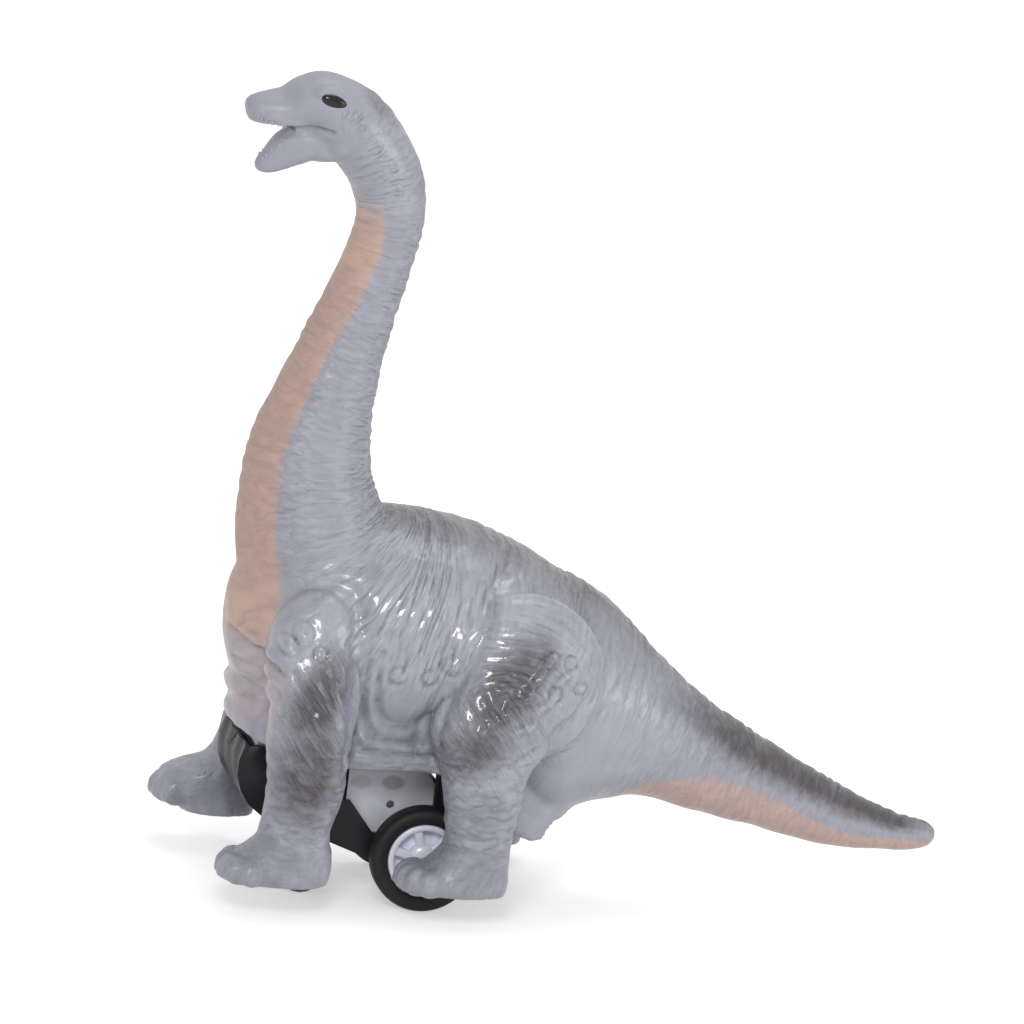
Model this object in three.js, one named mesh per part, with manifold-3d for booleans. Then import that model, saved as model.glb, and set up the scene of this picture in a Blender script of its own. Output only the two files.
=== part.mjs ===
// Pull-back toy dinosaur: a soft hollow body shell over a spring motor that sits in a black chassis.
// Millimetres. The toy faces -X, its left side faces -Y, and its wheels stand on Z = 0.
// It is drawn with the rear axle at X = 0, and the last lines move the origin below its middle.

import * as THREE from 'three';
import { mergeVertices } from 'three/addons/utils/BufferGeometryUtils.js';
import Module from 'manifold-3d';

const wasm = await Module();
wasm.setup();

// Fits
const pressGap = 0.1;
const runningGap = 0.15;
const seatGap = 0.3;

// Rear wheels and their axle
const tyreRadius = 9.15;
const tyreWidth = 4.7;
const tyreShoulder = 1.1;
const wheelGap = 1.6;
const rimRadius = 6.45;
const rimRing = 1.0;
const rimBead = 0.35;
const spokeCount = 6;
const spokeWidth = 1.3;
const spokeTurn = 0.24;
const webDepth = 1.7;
const webThickness = 0.6;
const capRadius = 2.6;
const capHeight = 1.1;
const hubBossRadius = 2.1;
const hubBossLength = 1.2;
const axleRadius = 0.9;
const axleEndCover = 1.4;

// Front wheels
const frontWheelRadius = 4.2;
const frontWheelWidth = 3.0;
const frontTrack = 12.0;
const frontAxleX = -19.5;
const frontAxleRadius = 0.8;
const frontWheelDish = 0.7;
const frontWheelLip = 0.9;

// Gear train
const gearModule = 0.5;
const pressureAngle = THREE.MathUtils.degToRad(20);
const addendum = 0.65 * gearModule;
const dedendum = 0.95 * gearModule;
const flankBacklash = 0.06;
const pinionTeeth = 10;
const secondGearTeeth = 28;
const firstGearTeeth = 28;
const springGearTeeth = 26;
const gearFace = 1.4;
const meshOverhang = 0.2;
const pinRadius = 0.6;
const secondGearBearing = THREE.MathUtils.degToRad(125.4);
const springArborX = -23.0;
const springArborZ = 22.6;
const arborRadius = 1.0;

// Mainspring
const springTurns = 5;
const springWidth = 3.2;
const springThickness = 0.35;
const springInnerRadius = 1.65;
const springOuterRadius = 6.6;
const springTab = 1.1;
const springRoom = 0.4;
const plateThickness = 0.6;

// Motor case
const caseWidth = 16.4;
const caseWall = 0.8;
const gearTipGap = 0.35;
const pinionCover = 0.75;
const layerGap = 0.3;

// Chassis pan
const panWall = 1.2;
const panCheek = 1.2;
const strutWidth = 1.7;
const frontStrutX = -14.5;
const cradleNoseRise = 0.45;
const cradleRearRise = 0.4;
const cradleCheekRise = 0.65;
const cradleDip = 4.5;
const earHeight = 28.0;
const earThickness = 1.4;
const earReach = 4.6;
const earLength = 5.4;
const prowDepth = 0.9;
const prowPanels = 3;
const prowStart = 0.88 * Math.PI;
const prowEnd = 1.42 * Math.PI;
const prowInset = 0.2;
const forkThickness = 1.2;
const forkGap = 0.9;
const forkFootRadius = 2.0;
const forkRootReach = 2.6;
const forkRootRadius = 1.1;

// Screws
const screwRadius = 0.8;
const screwLength = 6.5;
const screwHeadRadius = 1.8;
const screwHeadHeight = 1.2;
const screwSlot = 0.5;
const bossRadius = 2.7;
const bossLength = 9.0;
const bossWeb = 1.8;
const bossSink = 0.6;

// Body shell
const shellWall = 2.2;
const trunkWall = 3.2;
const trunkFullness = 0.92;
const trunkHollowRows = [2, 12];
const footReach = 7.5;
const hollowHalfWidth = 16.4;
const hollowFront = -32.2;
const hollowBack = 25.0;
const hollowTop = 52.0;
const skirtHalfWidth = 19.2;
const skirtTop = 42.0;
const skirtLean = 2.0;
const skirtCorner = 0.82;
const underCut = 5.0;
const beyond = 60.0;

// Widths from the middle outwards: pan, rear tyres, feet
const panHalf = caseWidth / 2 + seatGap + panCheek;
const rearInside = panHalf + wheelGap;
const rearFace = rearInside + tyreWidth;
const footCentreY = rearFace + footReach;

// Neck and head: X, Z, half depth across the spine, half width
const neckStations = [
  [-17, 48, 16, 15.5],
  [-22.4, 60.5, 14.2, 14.2],
  [-24.8, 69.5, 12.0, 12.0],
  [-25.0, 78, 10.7, 10.2],
  [-23.2, 88, 8.7, 8.3],
  [-20.7, 98, 7.3, 7.0],
  [-17.8, 108, 6.4, 6.2],
  [-15.7, 117, 6.0, 5.8],
  [-16.0, 124, 6.3, 6.1],
  [-19.4, 130.9, 6.6, 6.8],
  [-24.2, 135.7, 6.8, 7.5],
  [-29.4, 138.4, 5.5, 6.9],
  [-34.4, 137.7, 4.3, 5.7],
  [-38.8, 137.1, 3.1, 4.9],
  [-41.6, 136.6, 2.0, 3.7],
  [-42.8, 136.4, 0.8, 1.6],
];

// Lower jaw: X, Z, half depth, half width
const jawStations = [
  [-22.5, 130.4, 2.6, 4.6],
  [-27.0, 130.6, 2.7, 5.4],
  [-31.0, 130.6, 2.7, 5.0],
  [-35.0, 129.9, 3.3, 4.3],
  [-38.2, 128.5, 2.5, 3.6],
  [-40.3, 127.9, 1.0, 1.9],
];

// Trunk and tail: X, Z, half height, half width
const trunkStations = [
  [-36.4, 49.0, 4.0, 2.6],
  [-35.4, 47.5, 8.5, 6.5],
  [-32.2, 45.8, 15.2, 12.2],
  [-28.0, 46.0, 18.4, 16.2],
  [-20, 46.5, 20.4, 19.6],
  [-10, 46.8, 20.6, 21.4],
  [2, 45.7, 20.4, 22.2],
  [12, 42.0, 21.0, 22.0],
  [21, 36.9, 21.5, 19.8],
  [30, 36.0, 18.0, 15.8],
  [39, 32.6, 13.2, 12.0],
  [49, 27.3, 10.1, 9.2],
  [60, 22.9, 7.9, 7.3],
  [72, 18.4, 6.0, 5.4],
  [83, 15.6, 3.7, 3.5],
  [90.5, 14.9, 2.4, 2.2],
  [92.6, 14.9, 0.9, 0.9],
];

// Lower edge of the skirt, from the chest to the root of the tail: X, Z
const skirtEdge = [
  [-40, 30], [-34.2, 29], [-31, 27.6], [-26, 26.2], [-17, 25.4], [-2, 25.8], [6, 24], [11, 18.5],
  [14, 15.4], [19, 13.4], [21, 14.0], [23.5, 16.4], [29.5, 16.6],
];

// Legs: Z, front X, back X, Y of the middle, half width, from inside the trunk down to the sole
const legStations = {
  left_front: [
    [52, -30, -18, 15.8, 6], [45, -32.6, -15.8, 18.6, 7.3], [38, -32.2, -15.8, 20.6, 6.9],
    [30, -31.4, -16.9, 22.2, 6.2], [22.5, -30.6, -17.4, 23.2, 5.8], [16, -31.2, -19, footCentreY, 5.8],
    [13.2, -32.2, -18.6, footCentreY, 6.1], [11, -36.4, -18.3, footCentreY, 6.6],
    [8.6, -38.2, -18.2, footCentreY, 6.8], [6.3, -37, -18.5, footCentreY, 6.2],
  ],
  right_front: [
    [52, -28, -16, 15.8, 6], [45, -30.4, -15, 18.6, 7.3], [38, -29.8, -15.4, 20.6, 6.9],
    [30, -29.3, -16.6, 22.2, 6.2], [23, -29.6, -17.8, 23.2, 5.8], [18, -30.5, -20, footCentreY, 5.9],
    [15.2, -32.4, -21, footCentreY, 6.2], [12.8, -39, -21.8, footCentreY, 6.6],
    [9.4, -41, -22.3, footCentreY, 6.8], [5.9, -37, -22.8, footCentreY, 6.2],
  ],
  left_hind: [
    [50, 0, 21, 16.6, 7.2], [42, -1.2, 21.5, 20, 7.8], [34, -3, 18.5, 21.9, 7.4],
    [28, -0.9, 14.9, 22.8, 6.7], [22, 0.5, 13.6, 23.4, 6.2], [15, 1.2, 12.8, footCentreY, 6],
    [11, -3.4, 13, footCentreY, 6.4], [8.4, -6.8, 13.1, footCentreY, 6.8],
    [6.2, -5.6, 12.5, footCentreY, 6.4],
  ],
  right_hind: [
    [50, 1, 22, 16.6, 7.2], [42, 1.5, 23, 20, 7.8], [34, 4, 23.3, 21.9, 7.4],
    [27, 7.5, 22.6, 22.8, 6.7], [20, 10.5, 23.4, 23.4, 6.2], [13, 12.8, 24.8, footCentreY, 6],
    [9, 9.2, 25.3, footCentreY, 6.4], [6, 5.6, 25.4, footCentreY, 6.8],
    [3.4, 7, 24.8, footCentreY, 6.4],
  ],
};

// Swellings over the shoulders and haunches: X, Y, Z of the middle, then the three half sizes
const swellings = [
  [-23.2, 16.6, 45.5, 9, 7.4, 11],
  [10.5, 18.6, 44, 14, 9, 15.4],
];

const toeRadius = 2.3;
const toeLength = 3.0;
const toeCount = 3;

// Colours and finishes
const finishes = {
  vinyl: { color: 0x9ba0ac, roughness: 0.5, metalness: 0 },
  blackPlastic: { color: 0x2b292b, roughness: 0.45, metalness: 0 },
  tyreRubber: { color: 0x262427, roughness: 0.75, metalness: 0 },
  whitePlastic: { color: 0xd2d2e0, roughness: 0.35, metalness: 0 },
  casePlastic: { color: 0xb4b4bc, roughness: 0.4, metalness: 0 },
  gearPlastic: { color: 0xe8e4d8, roughness: 0.4, metalness: 0 },
  steel: { color: 0xb4b6ba, roughness: 0.3, metalness: 1 },
  springSteel: { color: 0x6f747a, roughness: 0.35, metalness: 1 },
};

// Closed mesh to solid
function solid(geometry) {
  const bare = geometry.index ? geometry.toNonIndexed() : geometry.clone();
  bare.deleteAttribute('normal');
  bare.deleteAttribute('uv');
  const merged = mergeVertices(bare, 1e-4);
  return new wasm.Manifold(new wasm.Mesh({
    numProp: 3,
    vertProperties: Float32Array.from(merged.attributes.position.array),
    triVerts: Uint32Array.from(merged.index.array),
  }));
}

// Solid back to a mesh's geometry
function surface(body) {
  const mesh = body.getMesh();
  const geometry = new THREE.BufferGeometry();
  geometry.setAttribute('position', new THREE.BufferAttribute(Float32Array.from(mesh.vertProperties), 3));
  geometry.setIndex(new THREE.BufferAttribute(Uint32Array.from(mesh.triVerts), 1));
  return geometry;
}

function join(...bodies) {
  return bodies.reduce((sum, body) => sum.add(body));
}

function cut(body, ...tools) {
  return tools.reduce((rest, tool) => rest.subtract(tool), body);
}

// Rod along Y between two ends, round X, Z
function rod(radius, lowY, highY, x, z, sides = 20) {
  const geometry = new THREE.CylinderGeometry(radius, radius, highY - lowY, sides);
  geometry.translate(x, (lowY + highY) / 2, z);
  return solid(geometry);
}

// Upright rod round X, Y
function post(radius, lowZ, highZ, x, y, sides = 16) {
  const geometry = new THREE.CylinderGeometry(radius, radius, highZ - lowZ, sides);
  geometry.rotateX(Math.PI / 2);
  geometry.translate(x, y, (lowZ + highZ) / 2);
  return solid(geometry);
}

// Block between two corners
function block(x0, x1, y0, y1, z0, z1) {
  const geometry = new THREE.BoxGeometry(x1 - x0, y1 - y0, z1 - z0);
  geometry.translate((x0 + x1) / 2, (y0 + y1) / 2, (z0 + z1) / 2);
  return solid(geometry);
}

// Outline drawn in X and Z, given its thickness along Y
function slab(points, lowY, highY) {
  const shape = new THREE.Shape(points.map(([x, z]) => new THREE.Vector2(x, z)));
  const geometry = new THREE.ExtrudeGeometry(shape, { depth: highY - lowY, bevelEnabled: false });
  geometry.rotateX(Math.PI / 2);
  geometry.translate(0, highY, 0);
  return solid(geometry);
}

// Profile of radius and Y, turned about the Y axis through X, Z
function turned(profile, x, z, sides) {
  const points = profile.map(([radius, y]) => new THREE.Vector2(radius, y));
  const geometry = new THREE.LatheGeometry(points, sides);
  geometry.translate(x, 0, z);
  const body = solid(geometry);
  return body.volume() > 0 ? body : solid(flipped(geometry));
}

// The same triangles with their faces turned round
function flipped(geometry) {
  const turnedRound = geometry.index ? geometry.toNonIndexed() : geometry.clone();
  const position = turnedRound.attributes.position;
  const spare = new THREE.Vector3();
  const other = new THREE.Vector3();
  for (let first = 0; first < position.count; first += 3) {
    spare.fromBufferAttribute(position, first);
    other.fromBufferAttribute(position, first + 1);
    position.setXYZ(first, other.x, other.y, other.z);
    position.setXYZ(first + 1, spare.x, spare.y, spare.z);
  }
  return turnedRound;
}

// Rings of equally many points, skinned into a closed solid with a fan at each end
function skin(rings) {
  const count = rings[0].length;
  const positions = [];
  const indices = [];
  rings.flat().forEach((point) => positions.push(point.x, point.y, point.z));
  for (let ring = 0; ring < rings.length - 1; ring += 1) {
    for (let side = 0; side < count; side += 1) {
      const next = (side + 1) % count;
      const a = ring * count + side;
      const b = ring * count + next;
      indices.push(a, b, b + count, a, b + count, a + count);
    }
  }
  [rings[0], rings[rings.length - 1]].forEach((ring, end) => {
    const centre = ring.reduce((sum, point) => sum.add(point), new THREE.Vector3()).divideScalar(count);
    const hub = positions.length / 3;
    const start = end * (rings.length - 1) * count;
    positions.push(centre.x, centre.y, centre.z);
    for (let side = 0; side < count; side += 1) {
      const here = start + side;
      const next = start + ((side + 1) % count);
      indices.push(...(end ? [hub, here, next] : [hub, next, here]));
    }
  });
  const geometry = new THREE.BufferGeometry();
  geometry.setAttribute('position', new THREE.Float32BufferAttribute(positions, 3));
  geometry.setIndex(indices);
  const body = solid(geometry);
  return body.volume() > 0 ? body : solid(flipped(geometry));
}

// Smooth run through rows of numbers, read at a fraction of its length in rows
function smoothRows(rows) {
  const width = rows[0].length;
  return (fraction) => {
    const place = fraction * (rows.length - 1);
    const low = Math.min(Math.floor(place), rows.length - 2);
    const t = place - low;
    const pick = (row) => rows[Math.max(0, Math.min(rows.length - 1, row))];
    const [before, here, next, after] = [low - 1, low, low + 1, low + 2].map(pick);
    return Array.from({ length: width }, (_, k) => {
      const leave = (next[k] - before[k]) / 2;
      const arrive = (after[k] - here[k]) / 2;
      const rise = next[k] - here[k];
      const bend = 3 * rise - 2 * leave - arrive;
      const twist = leave + arrive - 2 * rise;
      return here[k] + t * leave + t * t * bend + t * t * t * twist;
    });
  };
}

// Body of round sections along a spine in the X, Z plane; rows hold X, Z, half depth and half width.
// Its sections stand square to the spine, or upright where they are upright on request.
function spineBody(rows, ringCount, sides, upright = false, fullness = 1) {
  const read = smoothRows(rows);
  const rings = [];
  for (let ring = 0; ring <= ringCount; ring += 1) {
    const fraction = ring / ringCount;
    const [x, z, halfDepth, halfWidth] = read(fraction);
    const step = 0.2 / ringCount;
    const ahead = read(Math.min(1, fraction + step));
    const behind = read(Math.max(0, fraction - step));
    const slope = upright ? 0 : Math.atan2(ahead[1] - behind[1], ahead[0] - behind[0]);
    rings.push(Array.from({ length: sides }, (_, side) => {
      const angle = (2 * Math.PI * side) / sides;
      const across = halfWidth * rounded(Math.cos(angle), fullness);
      const along = halfDepth * rounded(Math.sin(angle), fullness);
      return new THREE.Vector3(x - along * Math.sin(slope), across, z + along * Math.cos(slope));
    }));
  }
  return skin(rings);
}

// A cosine or sine raised to a power with its sign kept: below 1 the section grows squarer
function rounded(value, power) {
  return Math.sign(value) * Math.abs(value) ** power;
}

// Leg of level oval sections; rows hold Z, front X, back X, Y of the middle and half width
function legBody(rows, sideSign, ringCount, sides) {
  const read = smoothRows(rows);
  const rings = [];
  for (let ring = 0; ring <= ringCount; ring += 1) {
    const [z, front, back, middle, halfWidth] = read(ring / ringCount);
    rings.push(Array.from({ length: sides }, (_, side) => {
      const angle = (2 * Math.PI * side) / sides;
      const x = (front + back) / 2 + ((back - front) / 2) * rounded(Math.cos(angle), 0.85);
      const y = sideSign * middle + halfWidth * rounded(Math.sin(angle), 0.85);
      return new THREE.Vector3(x, y, z);
    }));
  }
  return skin(rings);
}

// Ball stretched to three half sizes
function oval(x, y, z, halfX, halfY, halfZ, sides = 12) {
  const geometry = new THREE.SphereGeometry(1, sides, Math.round(sides * 0.6));
  geometry.rotateX(Math.PI / 2);
  geometry.scale(halfX, halfY, halfZ);
  geometry.translate(x, y, z);
  return solid(geometry);
}

// Convex outline round several circles, each X, Z and radius, grown by one amount
function roundHull(circles, growth, sides = 30) {
  const points = circles.flatMap(([x, z, radius]) => Array.from({ length: sides }, (_, side) => {
    const angle = (2 * Math.PI * side) / sides;
    return [x + (radius + growth) * Math.cos(angle), z + (radius + growth) * Math.sin(angle)];
  })).sort((a, b) => a[0] - b[0] || a[1] - b[1]);
  const turn = (a, b, c) => (b[0] - a[0]) * (c[1] - a[1]) - (b[1] - a[1]) * (c[0] - a[0]);
  const chain = (list) => list.reduce((kept, point) => {
    while (kept.length > 1 && turn(kept[kept.length - 2], kept[kept.length - 1], point) <= 1e-6) kept.pop();
    return [...kept, point];
  }, []).slice(0, -1);
  return [...chain(points), ...chain(points.reverse())];
}

// Gear pitch radius
function pitchRadius(teeth) {
  return (gearModule * teeth) / 2;
}

// Involute gear along Y; phase is the direction of one tooth's middle
function gear(teeth, centre, phase, lowY, highY) {
  const pitch = pitchRadius(teeth);
  const base = pitch * Math.cos(pressureAngle);
  const root = pitch - dedendum;
  const tip = pitch + addendum;
  const involute = (angle) => Math.tan(angle) - angle;
  const halfAtPitch = Math.PI / (2 * teeth) - flankBacklash / pitch;
  const half = (radius) => (
    halfAtPitch + involute(pressureAngle) - involute(Math.acos(Math.min(1, base / radius)))
  );
  const flank = [[root, half(Math.max(root, base))], [pitch, half(pitch)], [tip, half(tip)]];
  const tooth = [...flank.map(([radius, angle]) => [radius, -angle]), ...flank.reverse()];
  const points = Array.from({ length: teeth }, (_, index) => tooth.map(([radius, angle]) => {
    const direction = phase + (2 * Math.PI * index) / teeth + angle;
    return [centre[0] + radius * Math.cos(direction), centre[1] + radius * Math.sin(direction)];
  })).flat();
  return slab(points, lowY, highY);
}

// Phase that puts a gap of the driven gear on the line of centres where the driver has a tooth
function meshedPhase(driver, driverTeeth, driverPhase, driven, drivenTeeth) {
  const line = Math.atan2(driven[1] - driver[1], driven[0] - driver[0]);
  const share = ((line - driverPhase) * driverTeeth) / (2 * Math.PI);
  return line + Math.PI - ((2 * Math.PI) / drivenTeeth) * (0.5 - share);
}

// Point at two distances from two centres, on the upper side
function upperMeeting(first, firstDistance, second, secondDistance) {
  const span = Math.hypot(second[0] - first[0], second[1] - first[1]);
  const along = (firstDistance ** 2 - secondDistance ** 2 + span ** 2) / (2 * span);
  const rise = Math.sqrt(firstDistance ** 2 - along ** 2);
  const unit = [(second[0] - first[0]) / span, (second[1] - first[1]) / span];
  return [first[0] + along * unit[0] - rise * unit[1], first[1] + along * unit[1] + rise * unit[0]];
}

// Gear centres, X and Z
const axleCentre = [0, tyreRadius];
const pinionMesh = (teeth) => pitchRadius(teeth) + pitchRadius(pinionTeeth);
const secondCentre = [
  axleCentre[0] + pinionMesh(secondGearTeeth) * Math.cos(secondGearBearing),
  axleCentre[1] + pinionMesh(secondGearTeeth) * Math.sin(secondGearBearing),
];
const springCentre = [springArborX, springArborZ];
const firstCentre = upperMeeting(
  springCentre, pinionMesh(springGearTeeth), secondCentre, pinionMesh(firstGearTeeth),
);

// Layers of the motor along Y, from the left wall of the case to the right
const caseHalf = caseWidth / 2;
const caseInside = caseHalf - caseWall;
const springLow = -caseInside + layerGap;
const springHigh = springLow + springWidth;
const plateLow = springHigh + layerGap;
const plateHigh = plateLow + plateThickness;
const springGearLow = plateHigh + layerGap;
const springGearHigh = springGearLow + gearFace;
const firstWheelLow = springGearHigh + layerGap;
const firstWheelHigh = firstWheelLow + gearFace;
const secondWheelLow = firstWheelHigh + layerGap;
const secondWheelHigh = secondWheelLow + gearFace;
const axlePinionLow = secondWheelLow - meshOverhang;
const axlePinionHigh = secondWheelHigh + meshOverhang;

// Outline of the motor case: a round nose over the spring, a bulge round the second gear, a foot at the axle
const casingRadius = (teeth) => pitchRadius(teeth) + addendum + gearTipGap + caseWall;
const noseCircle = [...springCentre, Math.max(
  casingRadius(springGearTeeth), springOuterRadius + springThickness / 2 + springRoom + caseWall,
)];
const caseUpper = [noseCircle, [...firstCentre, casingRadius(firstGearTeeth)],
  [...secondCentre, casingRadius(secondGearTeeth)]];
const axleCircle = [...axleCentre, pitchRadius(pinionTeeth) + addendum + pinionCover + caseWall];
const caseLower = [[...secondCentre, casingRadius(secondGearTeeth) - caseWall], axleCircle];

function caseBody(growth, lowY, highY) {
  return join(
    slab(roundHull(caseUpper, growth), lowY, highY),
    slab(roundHull(caseLower, growth), lowY, highY),
  );
}

// Motor case half with its bearing holes; the left half also holds the spring drum
function caseHalfShell(side) {
  const outerLow = side < 0 ? -caseHalf : runningGap;
  const outerHigh = side < 0 ? -runningGap : caseHalf;
  const innerLow = side < 0 ? -caseInside : -caseHalf;
  const innerHigh = side < 0 ? caseHalf : caseInside;
  let shell = cut(caseBody(0, outerLow, outerHigh), caseBody(-caseWall, innerLow, innerHigh));
  if (side < 0) {
    const drum = cut(
      rod(noseCircle[2] - 0.05, -caseInside - caseWall / 2, plateHigh, ...springCentre, 32),
      rod(noseCircle[2] - caseWall, -caseInside, caseHalf, ...springCentre, 32),
    );
    const anchorSlot = block(
      springCentre[0] + springOuterRadius - springTab, springCentre[0] + noseCircle[2] + caseWall,
      springLow - layerGap / 2, caseHalf,
      springCentre[1] - springTab, springCentre[1] + springTab / 2,
    );
    shell = join(shell, cut(drum, anchorSlot));
  }
  const reach = [-caseHalf - 1, caseHalf + 1];
  return cut(
    shell,
    rod(axleRadius + runningGap, ...reach, ...axleCentre),
    rod(pinRadius + pressGap, ...reach, ...secondCentre),
    rod(pinRadius + pressGap, ...reach, ...firstCentre),
    rod(arborRadius + runningGap, ...reach, ...springCentre),
  );
}


function mirrored(profile, side) {
  return profile.map(([radius, y]) => [radius, side * y]);
}

function rearTyre(side) {
  const profile = [
    [rimRadius, rearInside + rimBead], [tyreRadius - tyreShoulder, rearInside],
    [tyreRadius - tyreShoulder * 0.3, rearInside + tyreShoulder * 0.35],
    [tyreRadius, rearInside + tyreShoulder], [tyreRadius, rearFace - tyreShoulder],
    [tyreRadius - tyreShoulder * 0.3, rearFace - tyreShoulder * 0.35],
    [tyreRadius - tyreShoulder, rearFace], [rimRadius, rearFace - rimBead], [rimRadius, rearInside + rimBead],
  ];
  return turned(mirrored(profile, side), ...axleCentre, 36);
}

function rearHub(side) {
  const rim = rimRadius - pressGap;
  const face = rearFace - rimBead;
  const back = rearInside + rimBead;
  const webFace = face - webDepth;
  const bossEnd = rearInside - hubBossLength;
  const profile = [
    [0, bossEnd], [hubBossRadius, bossEnd], [hubBossRadius, webFace - webThickness],
    [rim - rimRing, webFace - webThickness], [rim - rimRing, back], [rim, back], [rim, face],
    [rim - rimRing, face], [rim - rimRing, webFace], [capRadius, webFace], [capRadius, face - capHeight],
    [capRadius * 0.8, face - capHeight * 0.35], [capRadius * 0.42, face - capHeight * 0.05], [0, face],
  ];
  let body = turned(mirrored(profile, side), ...axleCentre, 24);
  for (let spoke = 0; spoke < spokeCount; spoke += 1) {
    const [start, end, depth] = [capRadius / 2, rim - rimRing / 2, webDepth - rimBead];
    const geometry = new THREE.BoxGeometry(end - start, depth, spokeWidth);
    geometry.translate((start + end) / 2, side * (face - rimBead - depth / 2), 0);
    geometry.rotateY(spokeTurn + (2 * Math.PI * spoke) / spokeCount);
    geometry.translate(axleCentre[0], 0, axleCentre[1]);
    body = join(body, solid(geometry));
  }
  const boreEnd = rearFace - axleEndCover;
  const bore = side < 0 ? [-boreEnd, 0] : [0, boreEnd];
  return cut(body, rod(axleRadius + pressGap, ...bore, ...axleCentre));
}

function rearAxle() {
  const end = rearFace - axleEndCover - seatGap;
  return rod(axleRadius, -end, end, ...axleCentre);
}

// Gears; each phase follows from the one that it meshes with
const axlePhase = 0;
const secondPhase = meshedPhase(axleCentre, pinionTeeth, axlePhase, secondCentre, secondGearTeeth);
const firstPhase = meshedPhase(secondCentre, pinionTeeth, secondPhase, firstCentre, firstGearTeeth);
const springPhase = meshedPhase(firstCentre, pinionTeeth, firstPhase, springCentre, springGearTeeth);

function axlePinion() {
  return cut(
    gear(pinionTeeth, axleCentre, axlePhase, axlePinionLow, axlePinionHigh),
    rod(axleRadius + pressGap, -caseHalf, caseHalf, ...axleCentre),
  );
}

// Wheel and pinion in one moulding, turning on a pin
function compoundGear(teeth, centre, phase, wheelLow, wheelHigh, pinionLow) {
  return cut(
    join(
      gear(teeth, centre, phase, wheelLow, wheelHigh),
      gear(pinionTeeth, centre, phase, pinionLow, wheelLow + gearFace / 2),
    ),
    rod(pinRadius + runningGap, -caseHalf, caseHalf, ...centre),
  );
}

function springGear() {
  return cut(
    gear(springGearTeeth, springCentre, springPhase, springGearLow, springGearHigh),
    rod(arborRadius + pressGap, -caseHalf, caseHalf, ...springCentre),
  );
}

function dividerPlate() {
  return cut(
    rod(noseCircle[2] - caseWall - runningGap, plateLow, plateHigh, ...springCentre, 28),
    rod(arborRadius + seatGap, -caseHalf, caseHalf, ...springCentre),
  );
}

// Steel ribbon wound in an even spiral from the arbor to the drum; its outer end turns out into the slot
function mainspring() {
  const stepsPerTurn = 16;
  const steps = springTurns * stepsPerTurn;
  const rings = [];
  for (let step = 0; step <= steps; step += 1) {
    const angle = (2 * Math.PI * step) / stepsPerTurn;
    const radius = springInnerRadius + ((springOuterRadius - springInnerRadius) * step) / steps;
    rings.push(ribbonSection(radius, angle));
  }
  rings.push(ribbonSection(springOuterRadius + springTab, 0.07));
  return skin(rings);
}

// Cross-section of the ribbon at a radius and an angle about the spring's centre
function ribbonSection(radius, angle) {
  const corners = [[-1, springLow], [1, springLow], [1, springHigh], [-1, springHigh]];
  return corners.map(([edge, y]) => {
    const reach = radius + (edge * springThickness) / 2;
    return new THREE.Vector3(
      springCentre[0] + reach * Math.cos(angle), y, springCentre[1] + reach * Math.sin(angle),
    );
  });
}

// Chassis pan: a cradle round the lower half of the motor case
const panGrowth = seatGap + panWall;
const rearStrutX = axleCircle[0] + axleCircle[2] - strutWidth;
const screwPlaces = [frontStrutX, rearStrutX].flatMap((x) => [-1, 1].map((side) => (
  [x, side * (panHalf + earReach / 2)]
)));

function chassisPan() {
  const outer = caseBody(panGrowth, -panHalf, panHalf);
  const inner = caseBody(seatGap, -caseHalf - seatGap, caseHalf + seatGap);
  const noseTop = springCentre[1] + noseCircle[2] * cradleNoseRise;
  const rearTop = secondCentre[1] + casingRadius(secondGearTeeth) * cradleRearRise;
  const cheekTop = axleCentre[1] + axleCircle[2] * cradleCheekRise;
  const above = earHeight + bossLength;
  const farFront = springCentre[0] - 2 * noseCircle[2];
  const farBack = axleCentre[0] + 2 * casingRadius(secondGearTeeth);
  const aboveCheeks = slab([
    [farFront, above], [farFront, noseTop], [springCentre[0] - noseCircle[2] * 0.75, noseTop],
    [springCentre[0] - noseCircle[2] * cradleNoseRise, springCentre[1]],
    [frontStrutX - 2 * strutWidth, springCentre[1] - cradleDip],
    [frontStrutX + strutWidth, springCentre[1] - cradleDip - panWall / 2],
    [frontStrutX + strutWidth + cradleDip, cheekTop],
    [rearStrutX, cheekTop], [rearStrutX + strutWidth, rearTop], [farBack, rearTop], [farBack, above],
  ], -panHalf - panCheek, panHalf + panCheek);
  const strut = (x, low) => cut(
    block(x - strutWidth / 2, x + strutWidth / 2, -panHalf, panHalf, low, earHeight),
    block(x - strutWidth, x + strutWidth, -caseHalf - seatGap, caseHalf + seatGap, 0, above),
  );
  const ears = screwPlaces.map(([x, y]) => {
    const edges = [y - Math.sign(y) * (earReach + panCheek) / 2, y + (Math.sign(y) * earReach) / 2];
    return block(
      x - earLength / 2, x + earLength / 2, Math.min(...edges), Math.max(...edges),
      earHeight - earThickness, earHeight,
    );
  });
  const holes = screwPlaces.map(([x, y]) => (
    post(screwRadius + runningGap, earHeight - 2 * earThickness, earHeight + earThickness, x, y)
  ));
  return cut(
    join(
      cut(outer, inner, aboveCheeks),
      strut(frontStrutX, springCentre[1] - cradleDip - panWall), strut(rearStrutX, cheekTop - panWall),
      ...ears, ...forkCheeks(), prow(),
    ),
    inner, ...holes,
    rod(axleRadius + seatGap, -rearInside, rearInside, ...axleCentre),
    rod(frontAxleRadius + runningGap, -panHalf, panHalf, frontAxleX, frontWheelRadius),
  );
}

// Two cheeks under the pan that carry the front axle
const forkInside = frontTrack / 2 - frontWheelWidth / 2 - forkGap - forkThickness;

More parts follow.
